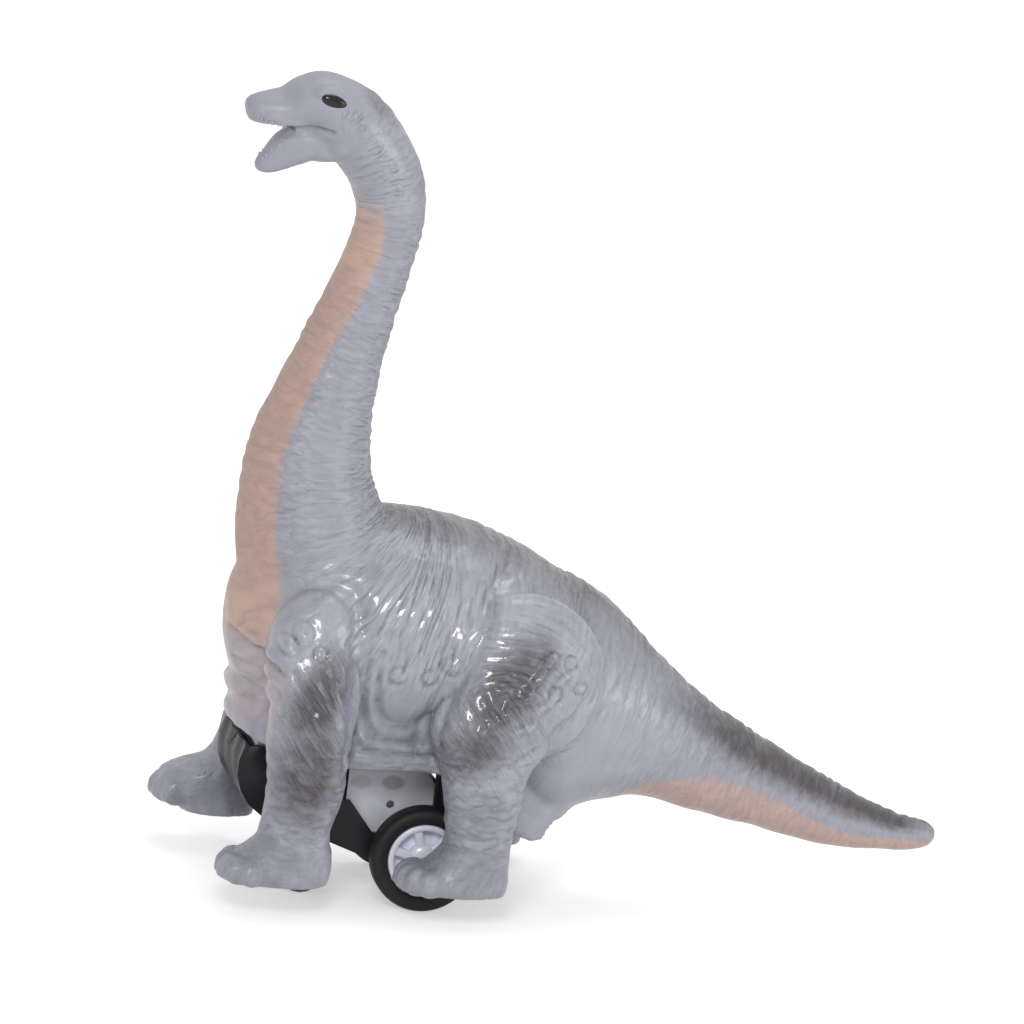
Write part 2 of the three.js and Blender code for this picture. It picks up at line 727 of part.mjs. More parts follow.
function forkCheeks() {
  const floor = springCentre[1] - noseCircle[2] - seatGap - panWall / 2;
  const outline = roundHull([
    [frontAxleX, frontWheelRadius, forkFootRadius],
    [frontAxleX - forkRootReach, floor, forkRootRadius],
    [frontAxleX + forkRootReach, floor - forkRootRadius * 2, forkRootRadius],
  ], 0, 20);
  return [-1, 1].map((side) => {
    const edges = [side * forkInside, side * (forkInside + forkThickness)];
    return slab(outline, Math.min(...edges), Math.max(...edges));
  });
}

// Fluted prow: upright panels round the front of the pan, hollowed between rounded ridges
function prow() {
  const halfWidth = panHalf - prowInset;
  const panelWidth = (2 * halfWidth) / prowPanels;
  const radius = noseCircle[2] + panGrowth;
  const rings = [];
  const steps = 6;
  const sections = prowPanels * 4;
  for (let step = 0; step <= steps; step += 1) {
    const angle = prowStart + ((prowEnd - prowStart) * step) / steps;
    const taper = Math.sin((Math.PI * (step + 1)) / (steps + 2)) ** 0.5;
    const outerEdge = Array.from({ length: sections + 1 }, (_, index) => {
      const y = -halfWidth + (2 * halfWidth * index) / sections;
      const ridge = Math.abs(Math.cos((Math.PI * (y + halfWidth)) / panelWidth));
      return [radius - 0.1 + prowDepth * taper * ridge ** 1.6, y];
    });
    const section = [...outerEdge, [radius - panWall / 2, halfWidth], [radius - panWall / 2, -halfWidth]];
    rings.push(section.map(([reach, y]) => new THREE.Vector3(
      springCentre[0] + reach * Math.cos(angle), y, springCentre[1] + reach * Math.sin(angle),
    )));
  }
  return skin(rings);
}

// Screws that hold the ears to the bosses in the body
function chassisScrew([x, y]) {
  const headLow = earHeight - earThickness - seatGap / 2 - screwHeadHeight;
  const head = post(screwHeadRadius, headLow, headLow + screwHeadHeight, x, y, 14);
  const shankLow = headLow + screwHeadHeight / 2;
  const shank = post(screwRadius, shankLow, headLow + screwHeadHeight + screwLength, x, y, 10);
  const [reach, halfSlot] = [screwHeadRadius * 0.7, screwSlot / 2];
  const slots = [[reach, halfSlot], [halfSlot, reach]].map(([a, b]) => (
    block(x - a, x + a, y - b, y + b, headLow - screwSlot, headLow + screwHeadHeight * 0.45)
  ));
  return cut(join(head, shank), ...slots);
}

function frontWheel(side) {
  const inside = frontTrack / 2 - frontWheelWidth / 2;
  const outside = inside + frontWheelWidth;
  const profile = [
    [0, inside], [frontWheelRadius - 0.4, inside], [frontWheelRadius, inside + 0.4],
    [frontWheelRadius, outside - 0.4], [frontWheelRadius - 0.4, outside],
    [frontWheelRadius - frontWheelLip, outside], [frontWheelRadius - frontWheelLip, outside - frontWheelDish],
    [frontAxleRadius + 1, outside - frontWheelDish], [frontAxleRadius + 1, outside], [0, outside],
  ];
  const wheel = turned(mirrored(profile, side), frontAxleX, frontWheelRadius, 20);
  const boreEnd = outside - 0.8;
  const bore = side < 0 ? [-boreEnd, 0] : [0, boreEnd];
  return cut(wheel, rod(frontAxleRadius + pressGap, ...bore, frontAxleX, frontWheelRadius));
}

function frontAxle() {
  const end = frontTrack / 2 + frontWheelWidth / 2 - 0.8 - seatGap;
  return rod(frontAxleRadius, -end, end, frontAxleX, frontWheelRadius);
}

// Ring of a rounded plan at one height
function planRing(front, back, halfWidth, z, sides) {
  return Array.from({ length: sides }, (_, side) => {
    const angle = (2 * Math.PI * side) / sides;
    const x = (front + back) / 2 + ((back - front) / 2) * rounded(Math.cos(angle), skirtCorner);
    return new THREE.Vector3(x, halfWidth * rounded(Math.sin(angle), skirtCorner), z);
  });
}

// Hollow under the trunk that takes the motor and opens downwards
function hollow() {
  const shrink = [[0, -1], [0, 0.62], [0.12, 0.76], [0.32, 0.9], [0.6, 1]];
  return skin(shrink.map(([inset, rise]) => planRing(
    hollowFront + inset * hollowHalfWidth, hollowBack - inset * hollowHalfWidth * 1.3,
    hollowHalfWidth * (1 - inset), hollowTop * rise, 24,
  )));
}

// Hollow of the trunk and the root of the tail, one wall inside the outer skin
function trunkHollow() {
  const rows = trunkStations.slice(...trunkHollowRows).map(([x, z, halfDepth, halfWidth]) => (
    [x, z, halfDepth - trunkWall, halfWidth - trunkWall]
  ));
  return spineBody(rows, 14, 16, true, trunkFullness);
}

// Skirt round the hollow's mouth, with its lower edge cut to a profile
function torso() {
  const trunk = spineBody(trunkStations, 28, 20, true, trunkFullness);
  const skirt = skin([[0, 0], [0.7, 0], [1, skirtLean]].map(([rise, inset]) => planRing(
    hollowFront - shellWall + inset, hollowBack + shellWall - 2 * inset,
    skirtHalfWidth - inset, skirtTop * rise, 24,
  )));
  const [[frontX], [backX]] = [skirtEdge[0], skirtEdge[skirtEdge.length - 1]];
  const below = [...skirtEdge, [backX, -underCut], [frontX, -underCut]].reverse();
  return cut(join(trunk, skirt), slab(below, -beyond, beyond));
}

function toes(rows, sideSign) {
  const [z, front, , middle, halfWidth] = rows[rows.length - 2];
  return Array.from({ length: toeCount }, (_, index) => {
    const spread = (index - (toeCount - 1) / 2) / ((toeCount - 1) / 2);
    const y = sideSign * middle + spread * (halfWidth - toeRadius);
    const x = front + toeLength * 0.75 + Math.abs(spread) ** 2 * toeRadius * 1.2;
    return oval(x, y, z - toeRadius * 0.5, toeLength, toeRadius * 0.95, toeRadius * 1.15, 8);
  });
}

// Boss for a chassis screw, held to the side wall by a web
function screwBoss(x, y) {
  const low = earHeight + seatGap;
  const wall = Math.sign(y) * (hollowHalfWidth + bossSink);
  return join(
    post(bossRadius, low, low + bossLength, x, y),
    block(x - bossWeb / 2, x + bossWeb / 2, Math.min(y, wall), Math.max(y, wall), low, low + bossLength),
  );
}

function bodyShell() {
  const neck = spineBody(neckStations, 28, 14);
  const jaw = spineBody(jawStations, 7, 10);
  const legs = Object.entries(legStations).flatMap(([name, rows]) => {
    const sideSign = name.startsWith('left') ? -1 : 1;
    const sole = rows[rows.length - 1][0];
    const under = block(-beyond, beyond, -beyond, beyond, sole - beyond, sole);
    return [cut(join(legBody(rows, sideSign, 10, 12), ...toes(rows, sideSign)), under)];
  });
  const swells = swellings.flatMap(([x, y, z, ...halves]) => (
    [-1, 1].map((side) => oval(x, side * y, z, ...halves))
  ));
  const bosses = screwPlaces.map(([x, y]) => screwBoss(x, y));
  const pilots = screwPlaces.map(([x, y]) => post(
    screwRadius + pressGap, earHeight, earHeight + screwLength + 1, x, y, 12,
  ));
  const filled = cut(join(torso(), neck, jaw, ...legs, ...swells), hollow(), trunkHollow());
  return cut(join(filled, ...bosses), ...pilots);
}

// The assembled toy
const toy = new THREE.Group();

function add(name, body, finish) {
  const mesh = new THREE.Mesh(surface(body), new THREE.MeshStandardMaterial(finishes[finish]));
  mesh.name = name;
  toy.add(mesh);
}

const pinEnd = caseHalf - pressGap;
add('body_shell', bodyShell(), 'vinyl');
add('chassis_pan', chassisPan(), 'blackPlastic');
add('motor_case_left', caseHalfShell(-1), 'casePlastic');
add('motor_case_right', caseHalfShell(1), 'casePlastic');
add('mainspring', mainspring(), 'springSteel');
add('divider_plate', dividerPlate(), 'steel');
add('spring_arbor', rod(arborRadius, -pinEnd, pinEnd, ...springCentre), 'steel');
add('spring_gear', springGear(), 'gearPlastic');
add('first_gear', compoundGear(
  firstGearTeeth, firstCentre, firstPhase, firstWheelLow, firstWheelHigh, springGearLow,
), 'gearPlastic');
add('first_gear_pin', rod(pinRadius, -pinEnd, pinEnd, ...firstCentre, 16), 'steel');
add('second_gear', compoundGear(
  secondGearTeeth, secondCentre, secondPhase, secondWheelLow, secondWheelHigh, firstWheelLow - meshOverhang,
), 'gearPlastic');
add('second_gear_pin', rod(pinRadius, -pinEnd, pinEnd, ...secondCentre, 16), 'steel');
add('axle_pinion', axlePinion(), 'gearPlastic');
add('rear_axle', rearAxle(), 'steel');
[['left', -1], ['right', 1]].forEach(([name, side]) => {
  add(`rear_hub_${name}`, rearHub(side), 'whitePlastic');
  add(`rear_tyre_${name}`, rearTyre(side), 'tyreRubber');
  add(`front_wheel_${name}`, frontWheel(side), 'blackPlastic');
});
add('front_axle', frontAxle(), 'steel');
screwPlaces.forEach((place, index) => {
  add(`chassis_screw_${index + 1}`, chassisScrew(place), 'steel');
});

// Origin on the ground, below the middle of the toy
const span = new THREE.Box3().setFromObject(toy, true);
toy.position.set(-(span.min.x + span.max.x) / 2, -(span.min.y + span.max.y) / 2, -span.min.z);

const part = new THREE.Group();
part.add(toy);

export default part;
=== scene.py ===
"""Looks of a pull-back toy dinosaur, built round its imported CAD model.

Shapes are worked out in millimetres in the drawing's frame: the rear axle is at X = 0, the wheels
stand on Z = 0, the toy faces -X and its left side faces -Y. They are moved into the model's frame
by the place of the rear axle there.
"""
import math
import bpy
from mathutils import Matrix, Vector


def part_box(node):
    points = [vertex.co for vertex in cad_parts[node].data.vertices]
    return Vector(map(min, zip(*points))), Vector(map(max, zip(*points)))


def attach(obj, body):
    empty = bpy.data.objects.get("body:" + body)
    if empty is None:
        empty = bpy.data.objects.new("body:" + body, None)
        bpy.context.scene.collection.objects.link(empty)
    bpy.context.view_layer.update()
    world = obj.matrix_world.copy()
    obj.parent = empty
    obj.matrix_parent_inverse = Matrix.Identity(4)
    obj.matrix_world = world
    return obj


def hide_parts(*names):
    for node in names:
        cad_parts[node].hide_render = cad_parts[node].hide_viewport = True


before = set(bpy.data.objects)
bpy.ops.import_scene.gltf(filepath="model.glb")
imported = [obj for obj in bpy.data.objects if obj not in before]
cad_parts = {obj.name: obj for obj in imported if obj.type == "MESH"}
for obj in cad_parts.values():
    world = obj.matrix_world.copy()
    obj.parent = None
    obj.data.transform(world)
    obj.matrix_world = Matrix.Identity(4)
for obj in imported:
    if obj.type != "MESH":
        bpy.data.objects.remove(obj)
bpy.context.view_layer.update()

from types import SimpleNamespace

import bmesh
import bpy
import numpy as np
from mathutils import Matrix, Vector
from mathutils.bvhtree import BVHTree

bl_info = {
    "name": "Pull-back toy dinosaur",
    "version": (1, 0, 0),
    "blender": (4, 5, 0),
    "location": "View3D > Sidebar > Toy",
    "description": "Builds the visible surfaces and the stage of a pull-back toy dinosaur",
    "category": "Add Mesh",
}

MM = 0.001
AXLE = (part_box("rear_axle")[0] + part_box("rear_axle")[1]) / 2
ORIGIN = np.array([AXLE.x, 0.0, 0.0])
TYRE_RADIUS = AXLE.z / MM
SIDES = (("left", -1), ("right", 1))
BOTH = (-1, 1)
WHITE = (1, 1, 1, 1)


# Numbers of the shapes

# Neck and head: X, Z, half depth across the spine, half width
NECK = [
    (-16.8, 48, 15.8, 15.5), (-22.2, 60.5, 13.9, 14.2), (-24.6, 69.5, 11.8, 12.0),
    (-24.8, 78, 10.5, 10.2), (-23.0, 88, 8.5, 8.3), (-20.5, 98, 7.1, 7.0), (-17.6, 108, 6.2, 6.2),
    (-15.6, 117, 5.9, 5.8), (-16.1, 123.7, 6.2, 6.1), (-19.7, 130.5, 6.4, 6.8),
    (-24.4, 135.2, 6.6, 7.4), (-28.8, 138.1, 5.5, 6.9), (-32.2, 138.2, 4.7, 5.9),
    (-35.6, 137.2, 3.4, 4.6), (-39.0, 136.9, 2.9, 3.8), (-41.4, 136.55, 2.4, 3.0),
    (-42.6, 136.4, 1.6, 2.0),
]

# Lower jaw: X, Z, half depth, half width
JAW = [
    (-22.5, 130.8, 2.6, 4.6), (-27.0, 131.2, 3.0, 4.9), (-31.0, 131.2, 3.1, 4.2),
    (-34.0, 130.2, 3.3, 3.4), (-36.2, 128.6, 2.8, 2.7), (-38.0, 127.3, 2.0, 2.1),
    (-39.4, 126.7, 1.3, 1.5), (-40.1, 126.5, 0.6, 0.8),
]

# Middle line that the wrinkles stand square to, from the snout to the tip of the tail: X, Z
FLOW = [
    (-46, 136.0), (-38.8, 137.1), (-29.0, 137.6), (-21.5, 133.4), (-16.8, 125.5), (-15.9, 117),
    (-17.8, 108), (-20.7, 98), (-23.2, 88), (-25.0, 78), (-25.0, 70), (-23.3, 62.5), (-19.5, 56),
    (-13.8, 51), (-7, 48), (0.5, 46.2), (9, 43.4), (18, 39.6), (28, 36.0), (39, 32.0), (49, 27.3),
    (60, 22.9), (72, 18.4), (83, 15.6), (97, 14.4),
]

# Trunk and tail: X, Z, half height, half width
TRUNK = [
    (-36.4, 47.8, 3.2, 2.6), (-35.2, 47.2, 7.6, 6.5), (-32.0, 45.8, 15.0, 12.2),
    (-28.0, 46.0, 18.4, 16.2), (-20, 46.5, 20.4, 19.6), (-10, 46.8, 20.6, 21.4),
    (2, 45.7, 20.4, 22.2), (12, 42.0, 21.0, 22.0), (21, 36.9, 21.5, 19.8), (30, 36.0, 18.0, 15.8),
    (39, 32.6, 13.2, 12.0), (49, 27.3, 10.1, 9.2), (60, 22.9, 7.9, 7.3), (72, 18.4, 6.0, 5.4),
    (83, 15.6, 3.7, 3.5), (90.5, 14.9, 2.4, 2.2), (92.6, 14.9, 0.9, 0.9),
]

# Legs from inside the trunk down to the sole: Z, front X, back X, Y of the middle, half width
LEGS = {
    ("front", -1): [
        (52, -30, -18, 15.8, 6), (45, -32.6, -15.8, 18.6, 7.3), (38, -32.2, -15.8, 20.6, 6.9),
        (30, -31.4, -16.9, 22.2, 6.2), (22.5, -30.6, -17.4, 23.2, 5.8),
        (16, -31.2, -19, 23.5, 5.8), (13.2, -32.2, -18.6, 23.5, 6.1),
        (11, -36.4, -18.3, 23.5, 6.6), (8.6, -38.2, -18.2, 23.5, 6.8),
        (6.3, -37, -18.5, 23.5, 6.2),
    ],
    ("front", 1): [
        (52, -28, -16, 15.8, 6), (45, -30.4, -15, 18.6, 7.3), (38, -29.8, -15.4, 20.6, 6.9),
        (30, -29.3, -16.6, 22.2, 6.2), (23, -29.6, -17.8, 23.2, 5.8), (18, -30.5, -20, 23.5, 5.9),
        (15.2, -32.4, -21, 23.5, 6.2), (12.8, -39, -21.8, 23.5, 6.6), (9.4, -41, -22.3, 23.5, 6.8),
        (5.9, -37, -22.8, 23.5, 6.2),
    ],
    ("hind", -1): [
        (50, 0, 21, 16.6, 7.2), (42, -1.2, 21.5, 20, 7.8), (34, -3, 18.5, 21.9, 7.4),
        (28, -0.9, 14.9, 22.8, 6.7), (22, 0.5, 13.6, 23.4, 6.2), (15, 1.2, 12.8, 23.5, 6),
        (11, -3.4, 13, 23.5, 6.4), (8.4, -6.8, 13.1, 23.5, 6.8), (6.2, -5.6, 12.5, 23.5, 6.4),
    ],
    ("hind", 1): [
        (50, 1, 22, 16.6, 7.2), (42, 1.5, 23, 20, 7.8), (34, 4, 23.3, 21.9, 7.4),
        (27, 7.5, 22.6, 22.8, 6.7), (20, 10.5, 23.4, 23.4, 6.2), (13, 12.8, 24.8, 23.5, 6),
        (9, 9.2, 25.3, 23.5, 6.4), (6, 5.6, 25.4, 23.5, 6.8), (3.4, 7, 24.8, 23.5, 6.4),
    ],
}

# Toes: place across the foot in half widths, how far back the tip lies, angle in degrees
TOES = [(-0.68, 1.5, -26), (-0.24, 0.2, -8), (0.25, 0.1, 8), (0.68, 1.3, 26), (0.98, 4.0, 48)]

# Lumps on both sides (shoulder, haunch, brow, nostril, cheek, lip): middle, half sizes, turn in
# degrees, and how many rings and sides mesh them
LUMPS = [
    ((-23.2, 16.6, 45.5), (9, 7.4, 11), 0, 30, 44), ((12, 18.4, 43.4), (15.2, 8.4, 15), 0, 30, 44),
    ((-28, 4.5, 140.2), (4.2, 2, 2), 15, 20, 28), ((-40.2, 1.6, 138), (1.4, 1.1, 1), -20, 20, 28),
    ((-25.2, 4.7, 133.2), (3.4, 2, 3.4), 0, 20, 28),
    ((-34, 3.2, 135.6), (6.2, 1.5, 1.4), 2, 20, 28),
]

# Folds across the chest: middle and half sizes
CHEST_FOLDS = [
    ((-33.5, 0, 43.6), (1.3, 6.5, 2)), ((-33.5, 0, 39.2), (1.3, 7.5, 2)),
    ((-33.5, 0, 35.0), (1.3, 7.0, 2)),
]

# Skirt round the opening under the trunk, its lower edge (X, Z), and the hollow inside it. Plans
# are ovals whose cosine and sine are raised to the corner power
SKIRT = {"front": -34.4, "back": 27.2, "half": 19.2, "top": 42.0, "corner": 0.82}
SKIRT_EDGE = [
    (-34.2, 29), (-31, 27.6), (-26, 26.2), (-17, 25.4), (-2, 25.8), (6, 24), (11, 18.5), (14, 15.4),
    (19, 13.4), (21, 14.0), (23.5, 16.4), (29.5, 16.6),
]
HOLLOW = {"front": -32.2, "back": 25.0, "half": 16.4, "top": 52.0}

# Walls of the hollow: share of its half width that they have drawn in by, and Z
HOLLOW_WALLS = [(0, -8), (0, 32.2), (0.04, 35.5), (0.12, 39.5), (0.32, 46.8), (0.6, 52)]

# Grooves pressed into both sides: X, Z points, depth and width. A ridge has a depth below 0
GROOVES = [
    ([(11.9, 62.7), (5.8, 58.6), (3.9, 52.2), (0.7, 44.3), (-3.3, 34.8), (-4.0, 30.5)], 1.0, 1.2),
    ([(21.1, 59.5), (25.0, 50.1), (24.9, 43.3), (21.4, 38.1), (15.6, 33.4),
      (11.3, 30.7)], 0.8, 1.2),
    ([(-33.7, 47.0), (-32.9, 51.5), (-29.8, 54.8), (-23.0, 57.5), (-18.2, 56.9)], 0.6, 1.4),
    ([(-17.0, 54.5), (-17.4, 48), (-18.0, 40.7), (-17, 33), (-17.2, 28)], 1.0, 1.4),
    ([(-14.6, 45), (-15.0, 39), (-13.6, 33.4), (-10.7, 31.0), (-6.0, 30.8),
      (-2.6, 32.4)], 1.0, 0.9),
    ([(-12.6, 47), (-12.8, 41), (-11.6, 35.8), (-9.0, 33.5), (-5.0, 33.8), (-2.2, 36.5)], 0.7, 0.8),
    ([(-16.4, 46), (-16.8, 40), (-15.6, 33.0), (-14.6, 30.6)], 0.5, 0.8),
    ([(16.9, 50.0), (15.6, 48.7), (14.4, 46.4), (13.0, 44.2), (11.9, 41.8), (8.8, 41.1),
      (8.2, 38.8), (5.5, 37.2), (4.8, 35.8)], -0.75, 0.5),
    ([(18.9, 46.0), (17.4, 44.6), (16.6, 41.6), (14.0, 40.2), (13.4, 37.6),
      (10.6, 36.6)], -0.5, 0.45),
    ([(14.6, 50.0), (12.9, 47.0), (11.2, 45.4), (9.9, 42.6), (8.0, 40.6), (6.8, 37.6)], 0.4, 1.0),
    ([(-28.4, 134.5), (-30.4, 134.5), (-33.4, 134.3), (-36.4, 134.0), (-38.4, 133.7)], 0.8, 0.42),
    ([(-38.6, 46.2), (-36.0, 45.4), (-34.0, 44.5), (-30.5, 43.2)], 0.7, 0.6),
    ([(-37.5, 42.0), (-35.5, 40.4), (-33.0, 40.8), (-31.0, 39.4)], 0.6, 0.8),
    ([(-37.5, 37.4), (-35.0, 36.4), (-33.0, 37.2), (-31.0, 36.0)], 0.6, 0.8),
    ([(-31.8, 44), (-31.4, 38), (-32.2, 31)], 0.5, 0.8),
    ([(-22.0, 44), (-24.0, 40), (-25.6, 35), (-24.6, 30)], 0.3, 1.2),
    ([(-26.4, 38.5), (-24.0, 34.6), (-21.8, 31)], 0.45, 0.7),
    ([(-25.2, 34.0), (-23.0, 30.4), (-20.6, 27.4)], 0.35, 0.7),
    ([(-28.5, 44.0), (-26.6, 40.6), (-24.6, 37.6)], 0.35, 0.7),
    ([(-17.5, 29.6), (-11, 29.1), (-3, 29.0), (1, 29.2)], 0.5, 0.55),
    ([(-16, 30.8), (-9, 30.2), (0, 30.4)], -0.35, 0.8),
]

# Round scutes on both sides: X, Z and radius
SCUTES = [
    (-27.1, 50.3, 1.75), (-29.7, 48.0, 1.45), (-24.3, 47.2, 1.15), (-9.7, 43.1, 1.45),
    (-4.2, 43.2, 1.3), (-0.8, 45.8, 1.55), (16.0, 48.6, 1.4), (19.5, 48.3, 1.1), (17.2, 42.8, 1.25),
    (21.8, 43.8, 1.1),
]

# Airbrush and painted shade on both sides: X, Z, half length, half width, turn in degrees, strength
SHADES = [
    (-24.0, 39.5, 8.4, 4.6, 68, 1.05), (-24.6, 26.5, 9.5, 5.8, 86, 1.0),
    (8.6, 43.4, 10.5, 5.2, 54, 1.05), (3.6, 33.2, 6.6, 4.8, 35, 0.85), (7.0, 21, 6, 4.5, 85, 0.3),
    # Next: a dark patch behind the eye, then painted shade under the belly
    (-20.4, 139.8, 4.6, 1.7, -48, 0.4), (-7.0, 30.0, 9.0, 4.2, 0, 0.3),
    # Painted shade over the front and the hind feet
    (-31.0, 11.0, 9.0, 6.0, 0, 0.34), (5.0, 11.0, 11.0, 6.0, 0, 0.3),
    (-14.5, 63.0, 5.0, 3.0, 60, 0.45),
]

# Eyes: X and Z of the middle, half sizes, depth below the skin and turn in degrees
EYE = {"x": -28.8, "z": 140.0, "halves": (2.35, 0.75, 1.15), "sunk": 0.25, "turn": 17}

# Tooth rows: X, Z along the jaw's edge, count, and which way they point (up 1, down -1)
TOOTH_ROWS = [
    ([(-41.0, 135.6), (-39.7, 135.2), (-37.6, 134.9), (-36.4, 134.8)], 7, -1),
    ([(-39.2, 128.2), (-37.8, 129.6), (-35.6, 131.8)], 5, 1),
]

# Lamps: direction from the middle of the toy, side in metres, share of the key light's power
LAMPS = {
    "key": ((-0.3, -0.9, 0.52), 0.24, 1.0), "fill": ((0.8, -0.6, 0.2), 0.5, 0.57),
    "top": ((0.1, 0.25, 0.9), 0.5, 0.5),
}
TOY_MIDDLE = (0, 0, 0.065)
WORLD_LIGHT = 0.56
FLOOR_GLOW = 0.45
FLOOR_HALF = 2500

# The photograph: its side, scale and the rear wheel's foot in pixels, and the view in degrees
PHOTO_SIDE = 1024
PIXELS_PER_MM = 5.8
WHEEL_FOOT = (407.5, 887.5)
TURN, DOWN, NOSE_UP = 11, 15.5, 6.5


# Surfaces

class Shape:
    """Vertices with blocks of quads and triangles, gathered from several surfaces."""

    def __init__(self, points=(), *blocks):
        self.points, self.blocks = np.reshape(points, (-1, 3)), list(blocks)

    def join(self, other):
        """Takes in another shape's vertices and faces."""
        self.blocks += [block + len(self.points) for block in other.blocks]
        self.points = np.vstack([self.points, other.points])


def along(rows, count):
    """Smooth run through rows of numbers: a cubic between each two, its slope at a row half of the
    step from the row before to the row after."""
    rows = np.asarray(rows, float)
    at = np.linspace(0, len(rows) - 1, count)
    low = np.minimum(at.astype(int), len(rows) - 2)
    t = (at - low)[:, None]
    before, here, after, later = (rows[np.clip(low + k, 0, len(rows) - 1)] for k in (-1, 0, 1, 2))
    leave, arrive, rise = (after - before) / 2, (later - here) / 2, after - here
    square, cube = 3 * rise - 2 * leave - arrive, leave + arrive - 2 * rise
    return here + t * leave + t * t * square + t ** 3 * cube


def circle(sides):
    """Angles of points spaced evenly round a circle."""
    return np.linspace(0, 2 * np.pi, sides, endpoint=False)


def cos_sin(degrees):
    """Cosine and sine of an angle in degrees."""
    angle = math.radians(degrees)
    return math.cos(angle), math.sin(angle)


def power(value, exponent):
    """Value raised to a power with its sign kept."""
    return np.sign(value) * np.abs(value) ** exponent


def step(low, high, value):
    """Smooth rise from 0 at low to 1 at high."""
    t = np.clip((value - low) / (high - low), 0, 1)
    return t * t * (3 - 2 * t)


def ring_mesh(rings, looped=False):
    """Closed rings of equally many points (ring, side, xyz) skinned with quads. A fan closes each
    end, unless the last ring is joined to the first."""
    count, sides = rings.shape[:2]
    index = np.arange(count * sides).reshape(count, sides)
    turn = np.roll(index, -1, axis=1)
    quads = np.stack([index, turn, np.roll(turn, -1, axis=0), np.roll(index, -1, axis=0)], -1)
    points = rings.reshape(-1, 3)
    if looped:
        return Shape(points, quads.reshape(-1, 4))
    ends = np.stack([rings[0].mean(0), rings[-1].mean(0)])
    first = np.stack([np.full(sides, count * sides), turn[0], index[0]], -1)
    last = np.stack([np.full(sides, count * sides + 1), index[-1], turn[-1]], -1)
    return Shape(np.vstack([points, ends]), quads[:-1].reshape(-1, 4), first, last)


def tube(rows, rings, sides, upright=False, fullness=1.0):
    """Body of round sections along a spine in the X, Z plane. Rows hold X, Z, half depth and half
    width; sections stand square to the spine, or upright. Fullness below 1 makes them squarer."""
    run, angle = along(rows, rings), circle(sides)
    slope = np.arctan2(np.gradient(run[:, 1]), np.gradient(run[:, 0])) * (not upright)
    across = run[:, 3, None] * power(np.cos(angle), fullness)
    rise = run[:, 2, None] * power(np.sin(angle), fullness)
    x = run[:, 0, None] - rise * np.sin(slope)[:, None]
    z = run[:, 1, None] + rise * np.cos(slope)[:, None]
    return ring_mesh(np.stack([x, across, z], -1))


def leg(rows, side, rings, sides):
    """Leg of level oval sections; rows hold Z, front X, back X, Y of the middle and half width."""
    z, front, back, middle, half = along(rows, rings).T[..., None]
    angle, fullness = circle(sides), 0.85
    x = (front + back) / 2 + (back - front) / 2 * power(np.cos(angle), fullness)
    y = side * middle + half * power(np.sin(angle), fullness)
    return ring_mesh(np.stack([x, y, np.broadcast_to(z, x.shape)], -1))


def ball(centre, halves, turn=0.0, spin=0.0, rings=20, sides=28):
    """Sphere stretched to three half sizes, turned about Y, then spun about Z, by degrees."""
    pole = 0.04
    polar, angle = np.linspace(pole, np.pi - pole, rings)[:, None], circle(sides)
    x, y = np.sin(polar) * np.cos(angle) * halves[0], np.sin(polar) * np.sin(angle) * halves[1]
    z = np.broadcast_to(np.cos(polar) * halves[2], x.shape)
    c, s = cos_sin(turn)
    x, z = x * c + z * s, z * c - x * s
    c, s = cos_sin(spin)
    return ring_mesh(np.stack([x * c - y * s, x * s + y * c, z], -1) + np.asarray(centre, float))


def plan_ring(front, back, half, height, corner, sides):
    """Level oval at one height, squarer for a corner power below 1."""
    angle = circle(sides)
    x = (front + back) / 2 + (back - front) / 2 * power(np.cos(angle), corner)
    return np.stack([x, half * power(np.sin(angle), corner), np.full(sides, float(height))], -1)


def turned(profile, side, sides):
    """Closed profile of radius and Y turned about the rear axle, mirrored for the left side."""
    radius, y = np.transpose(profile)
    angle = circle(sides)[:, None]
    x, z = radius * np.cos(angle), TYRE_RADIUS + radius * np.sin(angle)
    return ring_mesh(np.stack([x, np.broadcast_to(side * y, x.shape), z], -1), looped=True)


def mesh_object(name, shape, scale=MM, origin=ORIGIN):
    """New mesh object from a shape; its place is in its mesh."""
    mesh = bpy.data.meshes.new(name)
    faces = [face for block in shape.blocks for face in block.tolist()]
    mesh.from_pydata((shape.points * scale + origin).tolist(), [], faces)
    mesh.validate()
    mesh.update()
    obj = bpy.data.objects.new(name, mesh)
    bpy.context.scene.collection.objects.link(obj)
    return obj


def outward(obj, merge=0.0):
    """Merges doubles where asked and turns the faces outwards."""
    work = bmesh.new()
    work.from_mesh(obj.data)
    if merge:
        bmesh.ops.remove_doubles(work, verts=work.verts, dist=merge)
    bmesh.ops.recalc_face_normals(work, faces=work.faces)
    work.to_mesh(obj.data)
    work.free()
    return obj


def finished(obj, kind, **settings):
    """Applies a modifier of one kind and leaves none on the object."""
    modifier = obj.modifiers.new(kind.title(), kind)
    for key, value in settings.items():
        setattr(modifier, key, value)
    graph = bpy.context.evaluated_depsgraph_get()
    mesh = bpy.data.meshes.new_from_object(obj.evaluated_get(graph))
    obj.modifiers.clear()
    old, obj.data = obj.data, mesh
    bpy.data.meshes.remove(old)


def smooth(obj, angle=None):
    """Smooth shading, with edges sharper than an angle in degrees kept."""
    obj.data.polygons.foreach_set("use_smooth", np.ones(len(obj.data.polygons), bool))
    if angle is not None:
        obj.data.set_sharp_from_angle(angle=math.radians(angle))
    return obj


def coordinates(mesh):
    """Places of a mesh's vertices, one row each."""
    points = np.empty(len(mesh.vertices) * 3)
    mesh.vertices.foreach_get("co", points)
    return points.reshape(-1, 3)


def dress(obj, material):
    """Gives an object one material in place of any others."""
    obj.data.materials.clear()
    obj.data.materials.append(material)


def place(obj, body, material, slot, replaces=()):
    """Gives a piece its material and body, and hides the CAD nodes that it stands for. The slot is
    not used.
    """
    dress(obj, material)
    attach(obj, body)
    if replaces:
        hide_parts(*replaces)
    return obj


# Shader maths

